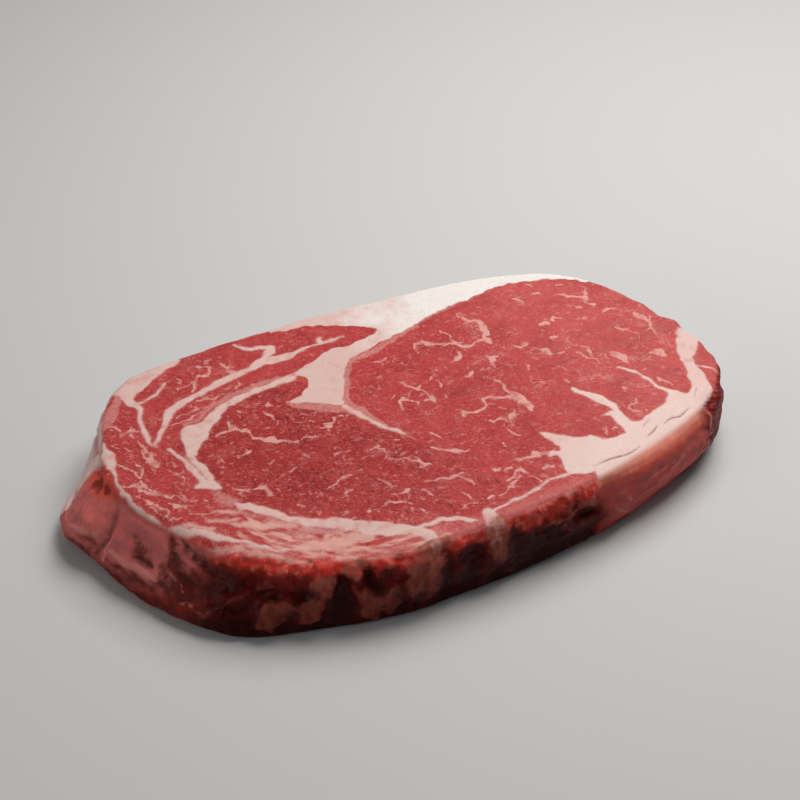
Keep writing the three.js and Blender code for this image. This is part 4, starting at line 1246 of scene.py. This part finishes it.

# %% [markdown]
# ### The lean on the side
# Below a bright, torn lip the bare side is wet and dark red, and further down painted shade darkens it.
# The lights alone don't make that shade, because the pale floor throws light back up. So the colour
# follows the depth below the cut face, and noise moves that depth up and down, which tears the lip's
# lower edge.
# %% Down the side the lean goes dark and wet, and painted shade darkens it further down
LIP_RED, LIP_SHEEN = tint(184, 52, 42), tint(206, 92, 80)
SIDE_RED, SIDE_DARK_AND_SHADE = tint(134, 36, 29), tint(84, 14, 11)
girth_mark = mark("girth")
slanted = grainy(-38, 5.0, 0.8, 0.6, laid_out(girth_mark, at_z))
wander = maths(beef, "MULTIPLY_ADD", cloud(2.4, 3.0, 30.0, 8.0), 7.0, -3.5)


def ragged_depth(share):
    """How deep down the side, off by up to this share of the wander."""
    return maths(beef, "ADD", depth_mark, times(wander, share))


thick_lip = times(ramp(beef, girth_mark, -4.0, 8.0), bare_mark, 1.9)
deep = maths(beef, "SUBTRACT", maths(beef, "ADD", depth_mark, wander), thick_lip)
# further down the bare side the lean is painted darker: painted shade over its own dark red
side_lean = layer(SIDE_RED, SIDE_DARK_AND_SHADE, times(ramp(beef, deep, 3.4, 7.5, 0.0, 0.85), bare_mark))
side_lean = layer(side_lean, SIDE_DARK_AND_SHADE, ramp(beef, slanted, 0.5, 0.3, 0.0, 0.5))
side_lean = layer(side_lean, LIP_RED, ramp(beef, slanted, 0.55, 0.75, 0.0, 0.35))
# the pale patches on the lip are a painted sheen of the wet lip
lip = layer(LIP_RED, LIP_SHEEN, ramp(beef, cloud(2.2, 2.0, 44.0, 3.5), 0.48, 0.66, 0.0, 0.75))
lean = layer(lean, lip, ramp(beef, ragged_depth(0.4), 0.6, 1.8))
lean = layer(lean, side_lean, ramp(beef, deep, 3.0, 4.8))
print("side painted")

# %% [markdown]
# ### Marbling
# Fat lies in the lean as veins, as short flecks and as threads too fine to draw. The veins and flecks
# are cut from their distances, and the threads come from the group *fine_marbling*, more of them in
# some places than in others. A vein fades here and there, as where it dips under the muscle.
# %% Marbling and veins
VEIN_PINK, FLECK_PINK = tint(210, 152, 144), tint(204, 134, 127)
patchy = ramp(beef, cloud(8.0, 2.0, 70.0), 0.38, 0.62, 0.1, 0.9)
fine = placed(fine_marbling, size=3.4, thickness=0.022, amount=patchy)
haze = times(cut("haze", 1.5, 2.0, 1.3), ramp(beef, cloud(0.9, 3.0, 75.0), 0.4, 0.62))
face = layer(lean, FLECK_PINK, times(haze, 0.6))
face = layer(face, FLECK_PINK, times(fine, face_only, 0.55))
face = layer(face, FLECK_PINK, times(cut("specks", 0.16, 0.7, 0.28), 0.75))
vein_fade = ramp(beef, cloud(3.0, 3.0, 230.0), 0.36, 0.54, 0.5, 1.0)
face = layer(face, VEIN_PINK, times(cut("veins", 0.3, 0.9, 0.26), vein_fade, 0.97))
print("marbling painted")

# %% [markdown]
# ### Film, seams and sinew
# Thin film, sinew and seams of cream fat part the muscles. They are all drawn already, so each only gets
# its colour here. Real fat thins out at its edge, so a wider and softer stain lies under each seam.
# %% Film, seams and sinew
SEAM_CREAM, SEAM_PINK = tint(212, 178, 170), tint(204, 152, 143)
LIP_CREAM, LIP_ROSE, PAD_CREAM = tint(216, 172, 160), tint(206, 134, 123), tint(222, 195, 187)
FILM_PINK, SINEW_PINK = tint(196, 128, 121), tint(192, 124, 119)
STREAK_PINK, SIDE_FAT_PINK, RUST_RED = tint(212, 160, 149), tint(160, 86, 72), tint(190, 84, 52)
film_lines = ramp(beef, cloud(0.8, 3.0, 80.0), 0.4, 0.65, 0.55, 1.0)
along_lip = grainy(-7, 10.0, 1.9, 0.5, laid_out(girth_mark, inset_mark))
in_lip = times(cut("lip_fat", 2.0, 4.0, 1.5), ramp(beef, depth_mark, 0.7, 2.0, 1.0, 0.0))
face = layer(face, LIP_ROSE, times(in_lip, ramp(beef, along_lip, 0.4, 0.56, 0.0, 0.6)))
face = layer(face, LIP_CREAM, times(in_lip, ramp(beef, along_lip, 0.5, 0.66, 0.0, 0.8)))
face = layer(face, FILM_PINK, times(cut("films", 0.4, 1.5, 0.4), film_lines))
face = layer(face, STREAK_PINK, times(cut("streaks", 0.7, 1.6, 0.8), 0.88))
cream = layer(SEAM_CREAM, SEAM_PINK, ramp(beef, cloud(3.5, 3.0, 90.0), 0.5, 0.72))
whiter_lip = ramp(beef, maths(beef, "SUBTRACT", at_x, at_y), 50.0, 85.0)
cream = layer(cream, PAD_CREAM, times(whiter_lip, ramp(beef, at_x, 88.0, 70.0, 0.2, 0.9)))
face = layer(face, FILM_PINK, times(cut("seams", 0.8, 2.0, 1.2), face_only, 0.5))
seam_mask = cut("seams", 0.4, 1.2, 0.45)
face = layer(face, cream, times(seam_mask, ramp(beef, depth_mark, 1.2, 3.2, 1.0, 0.0)))
face = layer(face, SINEW_PINK, times(cut("sinews", 0.9, 1.5, 0.7), ramp(beef, granules, 0.3, 0.6, 0.45, 0.9)))
face = layer(face, RUST_RED, times(cut("rust", 0.5, 0.9, 0.4), 0.7))
print("seams painted")

# %% Fat that comes out on the side
mottled = ramp(beef, cloud(2.0, 3.0, 95.0, 5.0), 0.38, 0.62, 0.5, 1.0)
side_only = maths(beef, "SUBTRACT", 1.0, face_only)
face = layer(face, SIDE_FAT_PINK, times(cut("side_fat", 1.0, 2.0, 0.8), mottled))
print("side fat painted")

# %% [markdown]
# ### White fat
# Hard fat is white at the back, pinker between the muscles, and pink again where the coat thins out at
# the tail. Blood tints all fat in clouds and in grains, and one flat white would look like plaster. So
# one blush is laid over all of it at once, the seams too.
# %% White fat, the kernel of it between the muscles pinker than the back
PEARL, PEARL_PINK, BLUSH = tint(224, 218, 213), tint(209, 176, 168), tint(206, 158, 150)
COAT_FOOT_SHADE, COAT_END = tint(176, 104, 92), tint(198, 118, 108)
whiter = ramp(beef, maths(beef, "MULTIPLY_ADD", cloud(9.0, 2.0, 100.0), 50.0, at_x), 22.0, 62.0)
pearly = layer(PEARL_PINK, PEARL, whiter)
pearl_mask = cut("pearl", 0.3, 1.5, 0.3)
face = layer(face, pearly, pearl_mask)
coat_mask = cut("coat", 0.6, 2.0, 0.5)
coat_pink = layer(layer(PEARL_PINK, PEARL, 0.5), BLUSH, ramp(beef, at_x, -35.0, -62.0, 0.0, 0.35))
coat_pink = layer(coat_pink, BLUSH, ramp(beef, cloud(11.0, 4.0, 180.0, 3.0), 0.48, 0.66, 0.0, 0.65))
# towards the floor the coat is painted darker: painted shade near the floor
coat_pink = layer(coat_pink, COAT_FOOT_SHADE, ramp(beef, depth_mark, 16.0, 22.0, 0.0, 0.45))
thinner = times(ramp(beef, mark("coat_end"), -9.0, 0.0), ramp(beef, at_x, -40.0, 0.0, 0.2, 0.75))
coat_pink = layer(coat_pink, COAT_END, thinner)
face = layer(face, coat_pink, coat_mask)
print("white fat painted")

# %% A blush in all the fat, in clouds and in fine granules
fat_mask = maths(beef, "MAXIMUM", maths(beef, "MAXIMUM", pearl_mask, seam_mask), coat_mask)
blushing = ramp(beef, cloud(3.0, 4.0, 105.0), 0.5, 0.72, 0.0, 0.55)
face = layer(face, BLUSH, times(fat_mask, blushing, maths(beef, "SUBTRACT", 1.25, whiter)))
face = layer(face, BLUSH, times(fat_mask, ramp(beef, granules, 0.5, 0.7, 0.0, 0.2)))
print("fat blushed")

# %% [markdown]
# ### Skin, flush and tail
# A thin skin wraps the flap and the pad. On the flap it is pink and mauve and painted brown towards the
# floor as shade, and on the pad it is red, with a peach edge where the fat behind it shines through. Under
# the flap's rim blood flushes the fat, and at the tail drier lean shows, streaked dark and pale.
# %% Skin of the flap and of the pad
SKIN_PINK, SKIN_MAUVE, SKIN_BROWN = tint(192, 98, 92), tint(170, 92, 92), tint(112, 38, 31)
CREASE_SHADE, PEACH = tint(58, 16, 14), tint(228, 144, 122)
SKIN_PALE, PAD_RED = tint(214, 150, 140), tint(190, 74, 68)
PAD_MAUVE, PAD_BAND = tint(158, 76, 74), tint(200, 84, 66)
hide = layer(SKIN_PINK, SKIN_MAUVE, ramp(beef, cloud(7.0, 2.0, 120.0, 4.0), 0.4, 0.65, 0.0, 0.8))
hairy = times(ramp(beef, slanted, 0.5, 0.3, 0.0, 0.22), ramp(beef, at_x, 0.0, 30.0, 1.0, 0.35))
hide = layer(hide, SKIN_BROWN, hairy)
hide = layer(hide, SKIN_PALE, ramp(beef, slanted, 0.54, 0.75, 0.0, 0.12))
# towards the floor the skin is painted brown: painted shade near the floor
hide = layer(hide, SKIN_BROWN, ramp(beef, depth_mark, 13.0, 19.0, 0.0, 0.75))
hide = layer(hide, PAD_RED, ramp(beef, at_x, 10.0, 35.0, 0.0, 0.7))
on_pad = ramp(beef, at_x, 20.0, 45.0)
hide = layer(hide, PAD_MAUVE, times(ramp(beef, cloud(6.0, 3.0, 240.0, 3.0), 0.44, 0.6), on_pad, 0.7))
hide = layer(hide, PAD_BAND, times(ramp(beef, depth_mark, 7.0, 3.5), on_pad, 0.6))
face = layer(face, hide, skin_mark)
edge_glow = times(ramp(beef, ragged_depth(0.3), 3.8, 1.2), skin_mark, on_pad)
face = layer(face, PEACH, times(edge_glow, 0.85))
print("skin painted")

# %% The flush under the flap's rim and the lean wall of the tail
FLUSH_RED, FLUSH_PINK, FLUSH_CORE = tint(210, 82, 60), tint(192, 104, 96), tint(120, 30, 26)
TAIL_LEAN, TAIL_DARK, TAIL_PALE = tint(140, 42, 40), tint(88, 20, 20), tint(190, 104, 96)
flushed = cut("flush", 1.4, 2.5, 1.3)
face = layer(face, layer(FLUSH_RED, FLUSH_PINK, coat_mask), times(flushed, 0.85))
core = ramp(beef, cloud(4.0, 2.0, 235.0), 0.49, 0.62, 0.0, 0.85)
face = layer(face, FLUSH_CORE, times(flushed, skin_mark, core))
on_tail = times(mark("tail_wall"), ramp(beef, mark("coat"), -0.5, 0.5))
face = layer(face, TAIL_LEAN, on_tail)
face = layer(face, TAIL_DARK, times(on_tail, ramp(beef, slanted, 0.62, 0.42, 0.15, 0.95)))
face = layer(face, TAIL_PALE, times(on_tail, ramp(beef, cloud(2.6, 3.0, 220.0, 1.2), 0.56, 0.72, 0.0, 0.3)))
print("flush and tail painted")

# %% [markdown]
# ### Hollows, threads and creases
# The dark places on the side are partly dark streaks of the meat and partly painted shade in hollows and
# folds, and the creases are painted dark as shade. The pale threads between are partly torn fibres and
# partly painted highlights on ridges and wet glints. Noise would put them anywhere, so the same drawings
# that sank and raised the relief colour it too.
# %% Dark and pale places of the side, creases and slits
# Dark places: partly dark streaks of the meat, partly painted shade in hollows and folds
# Each colour first on skin and fat, then on bare lean
shade_red = layer(tint(84, 27, 22), tint(62, 9, 8), bare_mark)
face = layer(face, shade_red, times(cut("shades", 1.3, 2.4, 1.3), side_only, 0.92))
# Pale places: partly torn threads, partly painted highlights on ridges and wet glints
pale_thread_and_glint = layer(tint(204, 128, 118), tint(140, 64, 54), bare_mark)
face = layer(face, pale_thread_and_glint, times(cut("gleams", 0.35, 1.6, 0.4), side_only, 0.7))
# the creases are painted dark: painted shade in the folds
face = layer(face, CREASE_SHADE, times(cut("creases", 0.5, 1.5, 0.9), 0.7))
face = layer(face, DARK_RED, times(cut("slits", 0.1, 0.8, 0.25), 0.7))
print("creases painted")

# %% Everything on the bare front darkens towards the floor: painted shade
FLOOR_SHADE = tint(184, 156, 150)
gloom = times(ramp(beef, depth_mark, 3.0, 15.0), bare_mark)
face = layer(face, FLOOR_SHADE, gloom, "MULTIPLY")
wire(beef, face, shader.inputs["Base Color"])
print("gloom painted")

# %% [markdown]
# ### Gloss and softness
# Meat is wet, but the film on it is thin, so under wide lamps its gloss is a broad sheen and no row of
# sparks. Light also sinks about a millimetre into it and comes out redder, which *subsurface scattering*
# does. Only the finest grain is left to the bump, because all larger relief is in the mesh.
# %% Gloss, softness and fine relief
DULL, GLOSSY, WETTER = 0.55, 0.42, 0.14
SPECULAR, SOFTNESS, SOFT_REACH = 0.07, 0.2, 1.2 * MM
side_grain = times(slanted, ramp(beef, skin_mark, 0.0, 1.0, 0.16, 0.06))
side_grain = times(side_grain, side_only, maths(beef, "SUBTRACT", 1.0, coat_mask))
height_mix = maths(beef, "ADD", times(scratches, 0.07, face_only), side_grain)
height_mix = maths(beef, "ADD", height_mix, times(granules, 0.12, face_only))
bump = add_node(beef, "ShaderNodeBump", strength=1.0, distance=MM)
wire(beef, height_mix, bump.inputs["Height"])
wire(beef, bump.outputs["Normal"], shader.inputs["Normal"])
rough = ramp(beef, cloud(3.0, 3.0, 160.0), 0.35, 0.65, GLOSSY, DULL)
wet = times(bare_mark, ramp(beef, depth_mark, 1.0, 4.0), WETTER)
wire(beef, maths(beef, "SUBTRACT", rough, wet), shader.inputs["Roughness"])
shader.inputs["Specular IOR Level"].default_value = SPECULAR
shader.inputs["Subsurface Weight"].default_value = SOFTNESS
shader.inputs["Subsurface Radius"].default_value = (1.0, 0.35, 0.25)
shader.inputs["Subsurface Scale"].default_value = SOFT_REACH
steak.data.materials.clear()
steak.data.materials.append(raw_beef)
only(steak)
bpy.ops.object.shade_smooth()
print("finish set")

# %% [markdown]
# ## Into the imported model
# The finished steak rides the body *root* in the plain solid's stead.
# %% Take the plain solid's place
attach(steak, "root")
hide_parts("steak")
